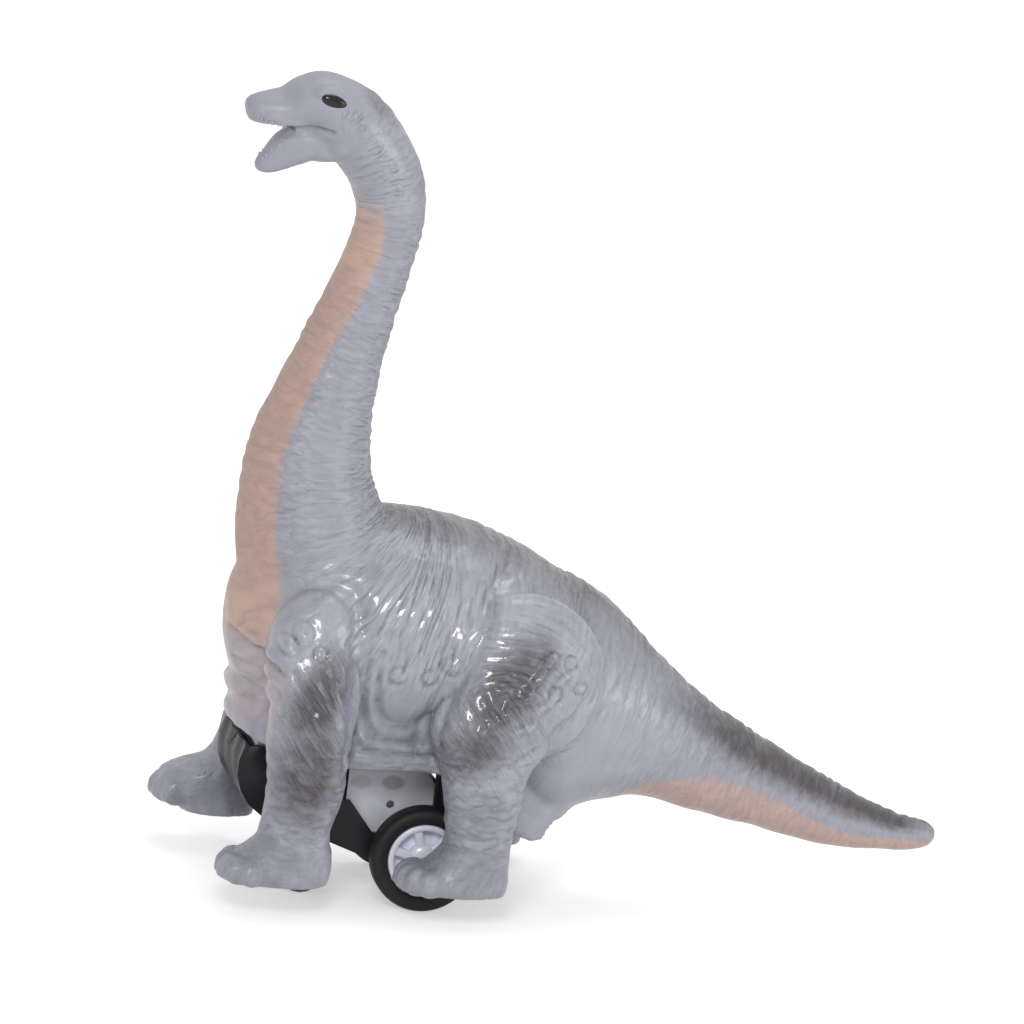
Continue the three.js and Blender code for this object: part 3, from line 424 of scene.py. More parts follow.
class Socket:
    """An output of a shader node. Arithmetic on it adds Math nodes."""

    def __init__(self, graph, output):
        self.graph, self.output = graph, output

    def __add__(self, other):
        return self.graph.math("ADD", self, other)

    def __radd__(self, other):
        return self.graph.math("ADD", other, self)

    def __sub__(self, other):
        return self.graph.math("SUBTRACT", self, other)

    def __rsub__(self, other):
        return self.graph.math("SUBTRACT", other, self)

    def __mul__(self, other):
        return self.graph.math("MULTIPLY", self, other)

    def __pow__(self, other):
        return self.graph.math("POWER", self, other)


class Graph:
    """Nodes of a material or a world, with one method that adds any node."""

    def __init__(self, owner):
        owner.use_nodes = True
        self.tree = owner.node_tree

    def put(self, target, value):
        if isinstance(value, Socket):
            self.tree.links.new(value.output, target)
        else:
            target.default_value = value

    def node(self, kind, sockets, output=0, **settings):
        node = self.tree.nodes.new("ShaderNode" + kind)
        for key, value in settings.items():
            setattr(node, key, value)
        for key, value in sockets.items():
            self.put(node.inputs[key], value)
        return Socket(self, node.outputs[output])

    def math(self, operation, a, b=0.0):
        return self.node("Math", {0: a, 1: b}, operation=operation)

    def clamp(self, value):
        return self.node("Clamp", {0: value})

    def mix(self, factor, a, b):
        return self.node("Mix", {0: factor, 6: a, 7: b}, 2, data_type="RGBA")

    def attribute(self, name, output="Fac"):
        return self.node("Attribute", {}, output, attribute_name=name)

    def scaled(self, vector, scale, turn=(0, 0, 0)):
        return self.node("Mapping", {"Vector": vector, "Scale": scale, "Rotation": turn})

    def millimetres(self):
        """Object coordinates in millimetres."""
        return self.scaled(self.node("TexCoord", {}, "Object"), (1 / MM, 1 / MM, 1 / MM))

    def noise(self, vector, scale, detail=2.0, roughness=0.5):
        return self.node("TexNoise", {
            "Vector": vector, "Scale": scale, "Detail": detail, "Roughness": roughness})

    def ramp(self, value, *stops):
        """Grey ramp through stops, each a position and a shade."""
        socket = self.node("ValToRGB", {0: value})
        elements = socket.output.node.color_ramp.elements
        while len(elements) < len(stops):
            elements.new(1.0)
        for element, (position, shade) in zip(elements, stops):
            element.position, element.color = position, (shade, shade, shade, 1)
        return socket

    def bump(self, height, distance, strength=1.0, **normal):
        return self.node("Bump", {
            "Height": height, "Distance": distance, "Strength": strength, **normal})

    def show(self, straight, other, output):
        """Shows one shader to the camera, in gloss and through clear pieces, and another to all
        other rays."""
        seen = (self.node("LightPath", {}, f"Is {kind} Ray")
                for kind in ("Camera", "Glossy", "Transmission"))
        blend = self.node("MixShader", {0: self.clamp(sum(seen)), 1: other, 2: straight})
        self.put(self.tree.nodes[output].inputs["Surface"], blend)


class Look(Graph):
    """Material of one principled shader."""

    def __init__(self, name, **settings):
        self.material = bpy.data.materials.new(name)
        super().__init__(self.material)
        self.shader = self.tree.nodes["Principled BSDF"]
        for key, value in settings.items():
            self.set(key.replace("_", " "), value)

    def set(self, name, value):
        self.put(self.shader.inputs[name], value)


def colour(red, green, blue):
    """Colour written in 0 to 255 as a display shows it, to the linear values that shaders use."""
    shown = (red / 255, green / 255, blue / 255)
    return (*(((c + 0.055) / 1.055) ** 2.4 if c > 0.04 else c / 12.92 for c in shown), 1.0)


def tinted(value, gain):
    """A colour brightened or darkened by a gain."""
    return (*(min(1.0, channel * gain) for channel in value[:3]), 1.0)


# Body

def gathered(index, values, count):
    """Sum of the rows of values that share an index."""
    return np.stack([np.bincount(index, column, count) for column in values.T], -1)


def smoothed(points, edges, times, weight):
    """Relaxes points towards the mean of their neighbours, and back again by as much, so that the
    volume stays: steps of 0.5 and -0.52 times the gap, times the weight."""
    count = len(points)
    ends = np.concatenate([edges, edges[:, ::-1]])
    valence = np.maximum(np.bincount(ends[:, 0], minlength=count), 1)[:, None]
    for share in times * (0.5, -0.52):
        mean = gathered(ends[:, 0], points[ends[:, 1]], count) / valence
        points = points + share * weight[:, None] * (mean - points)
    return points


def normals_of(points, quads):
    """Unit normals at the vertices: the sum of the cross products of the diagonals of the quads
    round each."""
    a, b, c, d = (points[quads[:, corner]] for corner in range(4))
    cross = np.cross(c - a, d - b)
    total = sum(gathered(quads[:, corner], cross, len(points)) for corner in range(4))
    return total / np.maximum(np.linalg.norm(total, axis=1, keepdims=True), 1e-9)


def path_distance(points, path):
    """Distance in the side view from points to a smooth path of X, Z points."""
    run = along(path, 8 * len(path))
    flat = points[:, [0, 2]]
    best = np.full(len(points), np.inf)
    for start, ahead in zip(run, np.diff(run, axis=0)):
        t = np.clip(((flat - start) @ ahead) / (ahead @ ahead), 0, 1)
        best = np.minimum(best, np.linalg.norm(flat - start - t[:, None] * ahead, axis=1))
    return best


def nearest_row(rows, column, values):
    """The row whose number in a column lies nearest, for each value."""
    return rows[np.argmin(np.abs(values[:, None] - rows[None, :, column]), axis=1)]


def spine_flow(points):
    """Distance along the middle line from the snout to the tail tip, height off that line, and the
    half depth and half width of neck or trunk there."""
    middle = along(FLOW, 900)
    tangent = np.gradient(middle, axis=0)
    tangent /= np.linalg.norm(tangent, axis=1, keepdims=True)
    travelled = np.concatenate([[0], np.cumsum(np.linalg.norm(np.diff(middle, axis=0), axis=1))])
    flat = points[:, [0, 2]]
    most = 8192  # points at a time, for memory
    chunks = np.array_split(flat, len(flat) // most + 1)
    nearest = np.concatenate([
        np.argmin(((chunk[:, None] - middle[None]) ** 2).sum(-1), axis=1) for chunk in chunks])
    off = flat - middle[nearest]
    s = travelled[nearest] + (off * tangent[nearest]).sum(1)
    r = off[:, 1] * tangent[nearest, 0] - off[:, 0] * tangent[nearest, 1]
    x, z = middle.T
    neck = nearest_row(along(NECK, 200), 1, z)[:, 2:]
    trunk = nearest_row(along(TRUNK, 200), 0, x)[:, 2:]
    share = (step(-24, -12, x) * (z < 60))[:, None]
    return s, r, (neck * (1 - share) + trunk * share)[nearest]


def spot(points, x, z, long, wide, turn):
    """Soft round patch on both sides: a bell of the place in a frame turned by degrees."""
    c, s = cos_sin(turn)
    u = (points[:, 0] - x) * c + (points[:, 2] - z) * s
    v = (points[:, 2] - z) * c - (points[:, 0] - x) * s
    return np.exp(-((u / long) ** 2 + (v / wide) ** 2) ** 1.3)


def angle_round(side, ahead, section):
    """Angle in degrees round sections of given half depths and widths, from the way ahead."""
    deep, wide = np.maximum(section, 1).T
    return np.degrees(np.arctan2(side / wide, ahead / deep))


def skin_masks(points):
    """Paint and wrinkle masks at points of the body, in millimetres, by name. Steps and patches
    place each one: their numbers are X, Y and Z limits, or limits of s, r and angle."""
    x, y, z = points.T
    side = np.abs(y)
    s, r, section = spine_flow(points)
    outer = 1 - inside_hollow(points)
    high = r / np.maximum(section[:, 0], 1)

    # Tan paint within an angle from the front of the neck, and from the underside of the tail
    level = nearest_row(along(NECK, 240), 1, z)
    front = angle_round(side, level[:, 0] - x, level[:, 2:])
    limit = np.interp(z, [44, 50, 60, 78, 95, 104, 112, 121, 126],
                      [40, 49, 52, 54, 60, 70, 76, 72, 50])
    throat = (1 - step(-9, 9, front - limit)) * step(44.5, 46.5, z + 0.12 * side)
    throat *= step(128, 114, z) * step(2, -8, x)
    reach = np.interp(x, [24, 31, 40, 52, 63, 75, 88, 93], [0, 26, 58, 84, 86, 72, 80, 60])
    under = (1 - step(-14, 12, angle_round(side, -r, section) - reach)) * step(25, 42, x)
    chest = 0.4 * (1 - step(-12, 12, front - 66)) * step(46.5, 44.5, z)
    chest *= step(-24, -30, x) * step(27, 33, z)

    # Dark airbrush and painted shade: its places, the ridge of the back and the top of the tail
    places = np.max([strength * spot(points, *place) for *place, strength in SHADES], axis=0)
    places *= step(14, 17.5, side) * step(100, 90, z) + step(100, 110, z)
    ridge = np.exp(-(side / np.maximum(0.58 * section[:, 1], 1.6)) ** 2) * step(0, 3, r)
    back = 0.85 * ridge * (0.45 + 0.55 * step(-18, -8, x)) * step(140, 120, z)
    tail_top = step(-0.05, 0.6, high) * step(30, 60, x) * (1 - 0.75 * step(84, 92, x))
    shade = np.max([places, back, 1.05 * tail_top], axis=0)

    # Kinds of wrinkle: legs, head, neck, nape, tail, haunch with its arcs and fringe, and shoulder
    legs = step(17.6, 19.6, side) * step(36, 29, z) * step(31, 29, x)
    legs *= 0.2 + 0.8 * step(9, 16, z)
    head = np.maximum(step(129, 134, z) * step(-18, -25, x), step(124, 127, z) * step(-22, -26, x))
    neck = step(48, 60, z) * step(-6, -14, x) * (1 - head)
    neck *= 0.35 + 0.65 * step(0.15, 0.5, np.abs(high - 0.12))
    neck *= 1 - 0.6 * step(104, 112, z) * step(2, -1, r)
    nape = np.exp(-((r - 1.2) / 2.6) ** 2) * step(16, 20, s) * step(42, 34, s) * step(1.5, 3, side)
    tail = step(24, 36, x)
    thigh = spot(points, 10, 45, 17, 12, 66) * step(14, 17, side) * step(-1, 3, x + 0.3 * (44 - z))
    arm = spot(points, -24, 36, 13, 6.5, 82) * step(15, 18, side)
    fringe = thigh * step(46, 38, z) * step(24, 16, x)
    flank = np.clip(1 - legs - neck - tail - head - thigh - arm, 0, 1)
    flank *= 1 - 0.75 * step(9, 16, x) * step(40, 31, z)
    flank *= 1 - 0.7 * step(44, 38, z) * step(-20, -16, x) * step(4, 0, x)

    # Glossy places: the flank, the shoulder, the haunch and the root of the tail
    wet = np.max([share * spot(points, *place) for share, *place in (
        (1, -7, 51, 11, 13, 75), (0.38, -23, 49, 9, 7, 90), (0.8, 4, 47, 14, 6, 65),
        (0.9, 34, 32, 12, 7, -30))], axis=0)
    whorl_x, whorl_z = x - 9, z - 36
    return {
        "flow": np.stack([s, r, y], -1), "tan": np.max([throat, under, chest], axis=0) * outer,
        "shade": shade * outer, "legs": legs * (1 - 0.6 * arm), "neck": neck,
        "tail": tail * (1 - thigh), "flank": flank * outer, "head": head,
        "arch": thigh * step(38, 46, z), "fringe": np.maximum(fringe, arm),
        "ridge": ridge * (1 - head), "nape": nape, "wet": wet * outer * step(8, 13, side),
        "whorl": np.stack([np.hypot(whorl_x, whorl_z), 14 * np.arctan2(whorl_z, whorl_x), y], -1),
    }


def inside_hollow(points):
    """1 on the walls of the hollow under the trunk, 0 on the outer skin."""
    x, y, z = points.T
    middle, reach = (HOLLOW["front"] + HOLLOW["back"]) / 2, (HOLLOW["back"] - HOLLOW["front"]) / 2
    level = (np.abs((x - middle) / reach) ** (2 / SKIRT["corner"])
             + np.abs(y / HOLLOW["half"]) ** (2 / SKIRT["corner"]))
    return (1 - step(1.02, 1.1, level)) * step(HOLLOW["top"] + 1, HOLLOW["top"] - 1, z)


def rough_body():
    """Lofts of trunk, neck, jaw, skirt, legs, toes and lumps, all pushed into each other."""
    rough = Shape()
    for part in (tube(TRUNK, 220, 72, upright=True, fullness=0.92), tube(NECK, 260, 64),
                 tube(JAW, 60, 48, fullness=0.72), skirt_mesh()):
        rough.join(part)
    ankle, slimmer, thinner = 12.5, 1.5, 0.5
    for (_, side), rows in LEGS.items():
        narrow = [(z, front + slimmer * (z < ankle), back, middle, half - thinner * (z < ankle))
                  for z, front, back, middle, half in rows]
        rough.join(leg(narrow, side, 70, 48))
        rough.join(toes(rows, side))
    for (x, y, z), halves, turn, rings, sides in LUMPS:
        for side in BOTH:
            rough.join(ball((x, side * y, z), halves, turn, rings=rings, sides=sides))
    for middle, halves in CHEST_FOLDS:
        rough.join(ball(middle, halves, rings=16, sides=24))
    return rough


def body_surface(voxel):
    """The rough body made one by a voxel remesh, relaxed, and sculpted along its normals. What
    lies below or above the relaxed skin is kept as creases."""
    work = outward(mesh_object("rough_body", rough_body(), scale=1.0, origin=0))
    finished(work, "REMESH", mode="VOXEL", voxel_size=voxel, adaptivity=0.0)
    mesh = work.data
    points = coordinates(mesh)
    edges, quads = np.empty((len(mesh.edges), 2), np.int32), np.empty(len(mesh.loops), np.int32)
    mesh.edges.foreach_get("vertices", edges.ravel())
    mesh.loops.foreach_get("vertex_index", quads)
    quads = quads.reshape(-1, 4)
    y, z = np.abs(points[:, 1]), points[:, 2]
    body = 1 - 0.7 * step(128, 133, z) - 0.75 * step(14, 12, z)
    points = smoothed(points, edges, 12, body)
    y, z = np.abs(points[:, 1]), points[:, 2]
    shoulders = step(8, 12, y) * step(44, 50, z) * step(72, 66, z)
    points = smoothed(points, edges, 60, 0.95 * shoulders)
    normal = normals_of(points, quads)
    points = points + sculpted(points, normal)[:, None] * normal
    whole = np.ones(len(points))
    relaxed = smoothed(smoothed(points, edges, 3, whole), edges, 12, 0.9 * whole)
    creases = ((relaxed - points) * normals_of(points, quads)).sum(1)
    mesh.vertices.foreach_set("co", points.ravel())
    mesh.attributes.new("crease", "FLOAT", "POINT").data.foreach_set(
        "value", creases.astype(np.float32))
    mesh.update()
    return work


def sculpted(points, normal):
    """How far each point is moved out: grooves go in by a bell curve of the distance to their
    path, scutes are discs in a ring, and each mask has folds that are products of sines of the
    distance s along the spine, the height r off it, or X, Y and Z."""
    masks = skin_masks(points)
    x, y, z = points.T
    side, sin = np.abs(y), np.sin
    facing = np.maximum(step(0.1, 0.5, np.abs(normal[:, 1])), step(-29, -32, x) * step(2, 5, side))
    push = np.zeros(len(points))
    for path, depth, width in GROOVES:
        push -= depth * np.exp(-(path_distance(points, path) / width) ** 2) * facing
    for cx, cz, radius in SCUTES:
        d = np.hypot(x - cx, z - cz) / radius
        disc, ring = 1 - step(0.5, 0.95, d), np.exp(-((d - 1.12) / 0.22) ** 2)
        push += (0.46 * disc - 0.26 * ring) * step(12, 15, side)
    s, r, _ = masks["flow"].T
    wander = sin(0.5 * r + 0.21 * s) + 0.7 * sin(0.23 * r - 0.6 * s + y * 0.2)
    streak = sin(s * 3.0 + 1.5 * wander) * (0.55 + 0.45 * sin(r * 0.9 + s * 1.7 + y * 0.3))
    flank = step(-22, -16, x) * step(32, 38, z) * step(66, 58, z) * step(9, 13, side)
    rings = sin(s * 2.5 + 0.9 * wander) * (0.5 + 0.5 * sin(r * 0.8 + s * 0.4))
    tail = sin(s * 2.2 + 0.8 * wander) * step(74, 50, x) * step(-6, 0, r)
    away, turn, _ = masks["whorl"].T
    arcs = sin(away * 2.7 + 0.8 * sin(turn * 0.35)) * (0.6 + 0.4 * sin(turn * 0.8 + away))
    slant = (x * math.sin(0.9) + z * math.cos(0.9)) * 2.3
    beads = sin(s * 2.9 + 1.6 * sin(s * 0.7)) * (0.6 + 0.4 * sin(s * 0.43 + 1))
    leg_folds = sin(z * 2.1 + 1.1 * sin(x * 0.5 + y * 0.3))
    leg_folds *= (0.5 + 0.5 * sin(x * 0.7 - z * 0.5 + y * 0.4)) * step(10, 14, z)
    for name, depth, folds in (
            ("flank", 0.2, flank * streak), ("neck", 0.11, rings), ("tail", 0.1, tail),
            ("arch", 0.2, arcs), ("fringe", 0.2, sin(slant + 0.9 * sin(0.5 * (x - z)))),
            ("ridge", 0.15, beads * step(132, 124, z)), ("legs", 0.16, leg_folds)):
        push += depth * masks[name] * folds
    return push + 0.1 * sin(s * 0.7 + y * 0.35) * sin(r * 0.6)


def skirt_mesh():
    """Upright walls round the opening: each ring keeps the rounded plan, its heights run from the
    lower edge to the top, and a narrow band along the edge stands out a little."""
    edge = along(SKIRT_EDGE, 200)
    order = np.argsort(edge[:, 0])
    rings = []
    for share, inset in ((0, 0), (0.14, 0), (0.2, 0.5), (1, 2)):
        ring = plan_ring(SKIRT["front"] + inset, SKIRT["back"] - 2 * inset,
                         SKIRT["half"] - inset, 0, SKIRT["corner"], 120)
        low = np.interp(ring[:, 0], edge[order, 0], edge[order, 1])
        ring[:, 2] = low + share * (SKIRT["top"] - low)
        rings.append(ring)
    return ring_mesh(np.stack(rings))


def toes(rows, side):
    """Rounded toes set like a fan round the front of a foot, each with a nail."""
    z, front, _, middle, half = rows[-2]
    shape = Shape()
    for across, back, turn in TOES:
        c, s = cos_sin(turn)
        tip = Vector((front + back, side * (middle + across * half), z))
        inward, spin = Vector((c, -side * s, 0)), -side * turn
        nail = tip + inward * 0.7 - Vector((0, 0, 0.7))
        shape.join(ball(tip + inward * 2.7, (2.9, 1.9, 2.6), turn=8, spin=spin))
        shape.join(ball(nail, (1.0, 1.35, 1.1), spin=spin))
    return shape


def hollow_tool():
    """What is cut from the trunk: the hollow that takes the motor, open below."""
    return ring_mesh(np.stack([plan_ring(
        HOLLOW["front"] + inset * HOLLOW["half"], HOLLOW["back"] - inset * HOLLOW["half"] * 1.3,
        HOLLOW["half"] * (1 - inset), height, SKIRT["corner"], 96)
        for inset, height in along(HOLLOW_WALLS, 26)]))


def body_piece(look):
    """The whole vinyl body, cut open below, with its masks as attributes."""
    work = body_surface(look.voxel / MM)
    for name, shape in (("hollow", hollow_tool()), ("soles", below_soles())):
        tool = outward(mesh_object(name, shape, scale=1.0, origin=0))
        finished(work, "BOOLEAN", operation="DIFFERENCE", object=tool, solver="EXACT")
        bpy.data.objects.remove(tool)
    points = coordinates(work.data)
    for name, values in skin_masks(points).items():
        kind, field = ("FLOAT_VECTOR", "vector") if values.ndim == 2 else ("FLOAT", "value")
        work.data.attributes.new(name, kind, "POINT").data.foreach_set(
            field, values.ravel().astype(np.float32))
    work.data.vertices.foreach_set("co", (points * MM + ORIGIN).ravel())
    work.data.update()
    work.name = "vinyl_body"
    return smooth(work, 50)


def below_soles():
    """A block under each sole, which cuts it flat."""
    shape, around, below, half = Shape(), 5, 12, 9
    for (_, side), rows in LEGS.items():
        sole, middle = rows[-1][0], side * rows[-1][3]
        front, back = rows[-2][1] - around, rows[-2][2] + around
        corners = ((front, sole - below), (back, sole - below), (back, sole), (front, sole))
        shape.join(ring_mesh(np.array([[(x, y, z) for x, z in corners]
                                       for y in (middle - half, middle + half)])))
    return shape


def vinyl_material(look):
    """Grey vinyl: tan paint on throat and underside, dark airbrush and painted shade, wrinkles
    along the flow of the skin, fine grain, painted shade in the valleys and creases, and painted
    highlight on the crests."""
    g = Look("painted_vinyl", Specular_IOR_Level=0.5, Coat_Roughness=0.12, IOR=1.5)
    at, flow, whorl = g.millimetres(), g.attribute("flow", "Vector"), g.attribute("whorl", "Vector")
    on = SimpleNamespace(**{name: g.attribute(name) for name in (
        "tan", "shade", "legs", "neck", "tail", "flank", "head", "arch", "fringe", "ridge", "nape",
        "wet", "crease")})
    cloud, grain = g.noise(at, 0.16, 3, 0.6), g.noise(at, 4.0, 3, 0.6)

    def streaks(vector, *scale):
        return g.noise(g.scaled(vector, scale), 1.0, 1.4, 0.4)

    def folds(value, sharp=4.5):
        """Valleys where the noise crosses its middle."""
        return g.clamp(g.math("ABSOLUTE", value - 0.5) * sharp)

    rings = folds(streaks(flow, 0.85, 0.3, 0.3))
    broad = folds(streaks(flow, 0.42, 0.13, 0.12))
    slant = folds(streaks(flow, 0.62, 0.12, 0.1))
    arcs = folds(streaks(whorl, 0.66, 0.16, 0.1))
    level = folds(streaks(at, 0.26, 0.26, 0.55))
    along_fringe = g.scaled(at, (1, 1, 1), (0, math.radians(-52), 0))
    fringe = folds(g.noise(g.scaled(along_fringe, (0.15, 0.2, 0.85)), 1.0, 3, 0.5), 5.0)
    patch = g.clamp(cloud * 2.4 - 0.6)
    height = (on.neck * (1.0 - on.tan * 0.5) * (rings * 0.5 + broad * 0.15)
              + on.tail * (rings * 0.35 + broad * 0.25)
              + on.flank * (on.wet * 0.5 + 0.6) * (slant * 1.1 + broad * 0.6)
              + on.legs * (level * 0.72 + rings * 0.06)
              + on.arch * (arcs * 0.9 + broad * 0.2)
              + on.fringe * (fringe * 0.85 + level * 0.1)
              + on.head * (broad * 0.08 + level * 0.04)
              + on.nape * folds(streaks(flow, 1.0, 0.4, 0.3), 5.0) * 0.7
              + on.ridge * rings * 0.5)
    valley = g.clamp(1.0 - height)
    crease, crest_highlight = g.clamp(on.crease * 5.0), g.clamp(on.crease * -5.0)

    # Grey with clouds, tan with a ragged edge, painted shade in the valleys and creases, painted
    # highlight on the crests, airbrush
    base = g.mix(g.clamp(cloud * 1.4 - 0.2), tinted(look.vinyl, 0.92), tinted(look.vinyl, 1.08))
    base = g.mix(on.head * 0.5, base, tinted(look.vinyl, 0.86))
    ragged = (g.noise(at, 0.9, 4, 0.7) - 0.5) * 0.5 + (streaks(flow, 1.3, 0.22, 0.3) - 0.5) * 0.55
    tan_edge = g.clamp((on.tan + ragged) * 1.7 - 0.35)
    thin = g.noise(at, 2.2, 4, 0.75)
    base = g.mix(tan_edge * g.clamp(1.15 - thin * 0.5 - on.tail * 0.12), base, look.tan)
    # Painted shade: the colour darkens in the valleys of the wrinkles and in the creases of the
    # mesh
    valley_shade = (valley ** 3 * (on.neck * 0.3 + on.flank * 0.3 + on.legs * 0.36 + on.tail * 0.26
                           + on.arch * 0.34 + on.fringe * 0.4) + crease * 0.55)
    base = g.mix(g.clamp(valley_shade), base, tinted(look.vinyl, 0.36))
    # Painted highlight: the colour lightens on the crests of the mesh
    base = g.mix(crest_highlight * 0.4, base, tinted(look.vinyl, 1.3))
    # Airbrush, with the painted shade of the feet and the belly, stronger in the valleys
    airbrush_and_shade = g.clamp((on.shade + (g.noise(at, 0.55, 4, 0.75) - 0.5) * 0.55) * 1.25 - 0.1)
    base = g.mix(g.clamp(airbrush_and_shade * (0.7 + valley * 0.3)), base, look.shadow)
    specks = g.ramp(g.noise(at, 1.5, 2, 0.5), (0.0, 0.0), (0.75, 0.0), (0.765, 1.0))
    g.set("Base Color", g.mix(specks * 0.6, base, look.shadow))

    sheen = (on.wet * 1.3 + on.flank * 0.3 + on.arch * 0.2 + on.nape * 0.4
             + on.fringe * 0.35 + on.tail * 0.25)
    gloss = g.clamp(sheen * (patch * 0.6 + 0.6) + crest_highlight * 0.4)
    g.set("Roughness", g.clamp(0.42 + grain * 0.14 - gloss * 0.16 + tan_edge * 0.14))
    g.set("Coat Weight", g.clamp(gloss * 0.9 + 0.05))
    g.set("Normal", g.bump(height, look.wrinkle, Normal=g.bump(grain, 0.00005, 0.5)))
    return g.material


def eye_material():
    """Gloss black paint, a little uneven."""
    g = Look("gloss_black_paint", Coat_Weight=0.25, Coat_Roughness=0.03, IOR=1.35)
    at = g.millimetres()
    shade = g.noise(at, 0.9, 2)
    g.set("Base Color", g.mix(shade, colour(6, 5, 6), colour(22, 18, 18)))
    g.set("Roughness", 0.12 + shade * 0.12)
    g.set("Normal", g.bump(g.noise(at, 3.0), 0.00004, 0.4))
    return g.material


# Plastics, rubber and metal

def moulded(name, base, roughness, grain=4.0, coat=0.0, variation=0.12, relief=0.00004, shade_spots=(),
            **settings):
    """Moulded plastic or rubber: cloudy colour, fine grain in roughness and bump, a few scuffs, and
    round spots of painted shade: each has its X, Z, radius, softness of its edge and strength."""
    g = Look(name, Coat_Weight=coat, Coat_Roughness=0.15, **settings)
    at = g.millimetres()
    cloud, fine = g.noise(at, 0.3, 3, 0.6), g.noise(at, grain, 3, 0.6)
    scuff = g.noise(g.scaled(at, (0.5, 2.2, 2.2)), 1.0, 4, 0.7)
    scuff = g.ramp(scuff, (0.0, 0.0), (0.6, 0.0), (0.72, 1.0))
    tone = g.mix(cloud, tinted(base, 1 - variation), tinted(base, 1 + variation))
    flatness = 1.5
    # Each spot is painted shade: the colour darkens towards its middle
    for x, z, radius, soft, strength in shade_spots:
        flat = g.node("VectorMath", {0: at, 1: (1, 0, flatness)}, operation="MULTIPLY")
        centre = (x + ORIGIN[0] / MM, 0, flatness * z)
        away = g.node("VectorMath", {0: flat, 1: centre}, "Value", operation="DISTANCE")
        tone = g.mix(g.clamp((radius - away) * (1 / soft)) * strength, tone, tinted(base, 0.3))
    g.set("Base Color", g.mix(scuff * 0.12, tone, tinted(base, 1.9)))
    g.set("Roughness", g.clamp(roughness + (fine - 0.5) * 0.16 + scuff * 0.14))
    g.set("Normal", g.bump(fine, relief, 0.7))
    return g.material


def metal(name, base, roughness, stretch=(1.0, 0.08, 1.0)):
    """Drawn metal: fine streaks along its length in roughness and bump."""
    g = Look(name, Metallic=1.0)
    at = g.millimetres()
    streak = g.noise(g.scaled(at, stretch), 9.0, 3, 0.6)
    cloud = g.noise(at, 0.5, 3, 0.6)
    g.set("Base Color", g.mix(cloud, tinted(base, 0.82), tinted(base, 1.1)))
    g.set("Roughness", g.clamp(roughness + (streak - 0.5) * 0.22))
    g.set("Normal", g.bump(streak, 0.00002, 0.6))
    return g.material


# Settings

def paint(name, description, *shown):
    """Colour property, its default written in 0 to 255."""
    return bpy.props.FloatVectorProperty(
        name=name, description=description, subtype="COLOR", size=4, default=colour(*shown))


def length(name, description, default, low=0.0):
    """Length property in metres."""
    return bpy.props.FloatProperty(
        name=name, description=description, unit="LENGTH", default=default, min=low)


class ToyBodySettings(bpy.types.PropertyGroup):
    vinyl: paint("Vinyl", "Grey of the vinyl", 157, 158, 170)
    tan: paint("Tan", "Paint on throat and underside", 198, 163, 147)
    # The airbrush colour is also that of the painted shade on the feet and under the belly
    shadow: paint("Airbrush", "Dark airbrushed paint", 61, 56, 58)
    voxel: length("Voxel", "Size of the body's faces", 0.0006, 0.0004)
    wrinkle: length("Wrinkle depth", "Depth of the wrinkles", 0.00045)


class ToyMotorSettings(bpy.types.PropertyGroup):
    black: paint("Chassis", "Black of the chassis", 27, 25, 29)
    case: paint("Case", "Whitish motor case", 228, 228, 238)
    hub: paint("Hub", "White wheel hubs", 232, 232, 246)
    tyre: paint("Tyre", "Black of the tyres", 30, 28, 31)


class ToyStageSettings(bpy.types.PropertyGroup):
    distance: length("Camera distance", "From the toy", 6.0, 0.4)
    key: bpy.props.FloatProperty(
        name="Key light", description="Power of the main lamp", subtype="POWER", default=4.0, min=0)


# Operators

class TOY_OT_body(bpy.types.Operator):
    """Vinyl body: neck, head, trunk, legs and tail"""
    bl_idname = "toy.body"
    bl_label = "Body"

    def execute(self, context):
        look = context.scene.toy_body
        place(body_piece(look), "toy_body", vinyl_material(look), "vinyl", ("body_shell",))
        return {"FINISHED"}


class TOY_OT_face(bpy.types.Operator):
    """Eyes and teeth"""
    bl_idname = "toy.face"
    bl_label = "Face"

    def execute(self, context):
        skin = BVHTree.FromObject(
            bpy.data.objects["vinyl_body"], context.evaluated_depsgraph_get())
        black = eye_material()
        for name, side in SIDES:
            out = skin_at(skin, EYE["x"], side, EYE["z"]) - EYE["sunk"]
            shape = ball((EYE["x"], side * out, EYE["z"]), EYE["halves"], turn=EYE["turn"])
            place(smooth(outward(mesh_object(f"eye_{name}", shape))), "toy_body", black, "vinyl")
        vinyl = moulded("tooth_vinyl", tinted(context.scene.toy_body.vinyl, 1.05), 0.4)
        teeth = outward(mesh_object("teeth", tooth_rows(skin)))
        place(smooth(teeth), "toy_body", vinyl, "vinyl")
        return {"FINISHED"}


def skin_at(skin, x, side, z):
    """How far out the body's skin lies at X, Z, looked at square from one side, in millimetres."""
    outside = 0.06
    origin = Vector((x * MM + ORIGIN[0], side * outside, z * MM))
    hit = skin.ray_cast(origin, Vector((0, -side, 0)))[0]
    return abs(hit.y) / MM if hit else 0.0


def tooth_rows(skin):
    """Small blunt bumps along the edges of both jaws, their sizes varied by a sine, where the
    skin lies far enough from the middle."""
    shape, half_high, sunk, least, inset = Shape(), 0.42, 0.24, 0.6, 0.6
    for edge, count, way in TOOTH_ROWS:
        for index, (x, z) in enumerate(along(edge, count)):
            for side in BOTH:
                depth = skin_at(skin, x, side, z - way * inset)
                if depth > least:
                    half = 0.22 + 0.05 * math.sin(3.1 * index + side)
                    shape.join(ball((x, side * (depth - sunk), z), (half, half, half_high),
                                    rings=8, sides=10))
    return shape


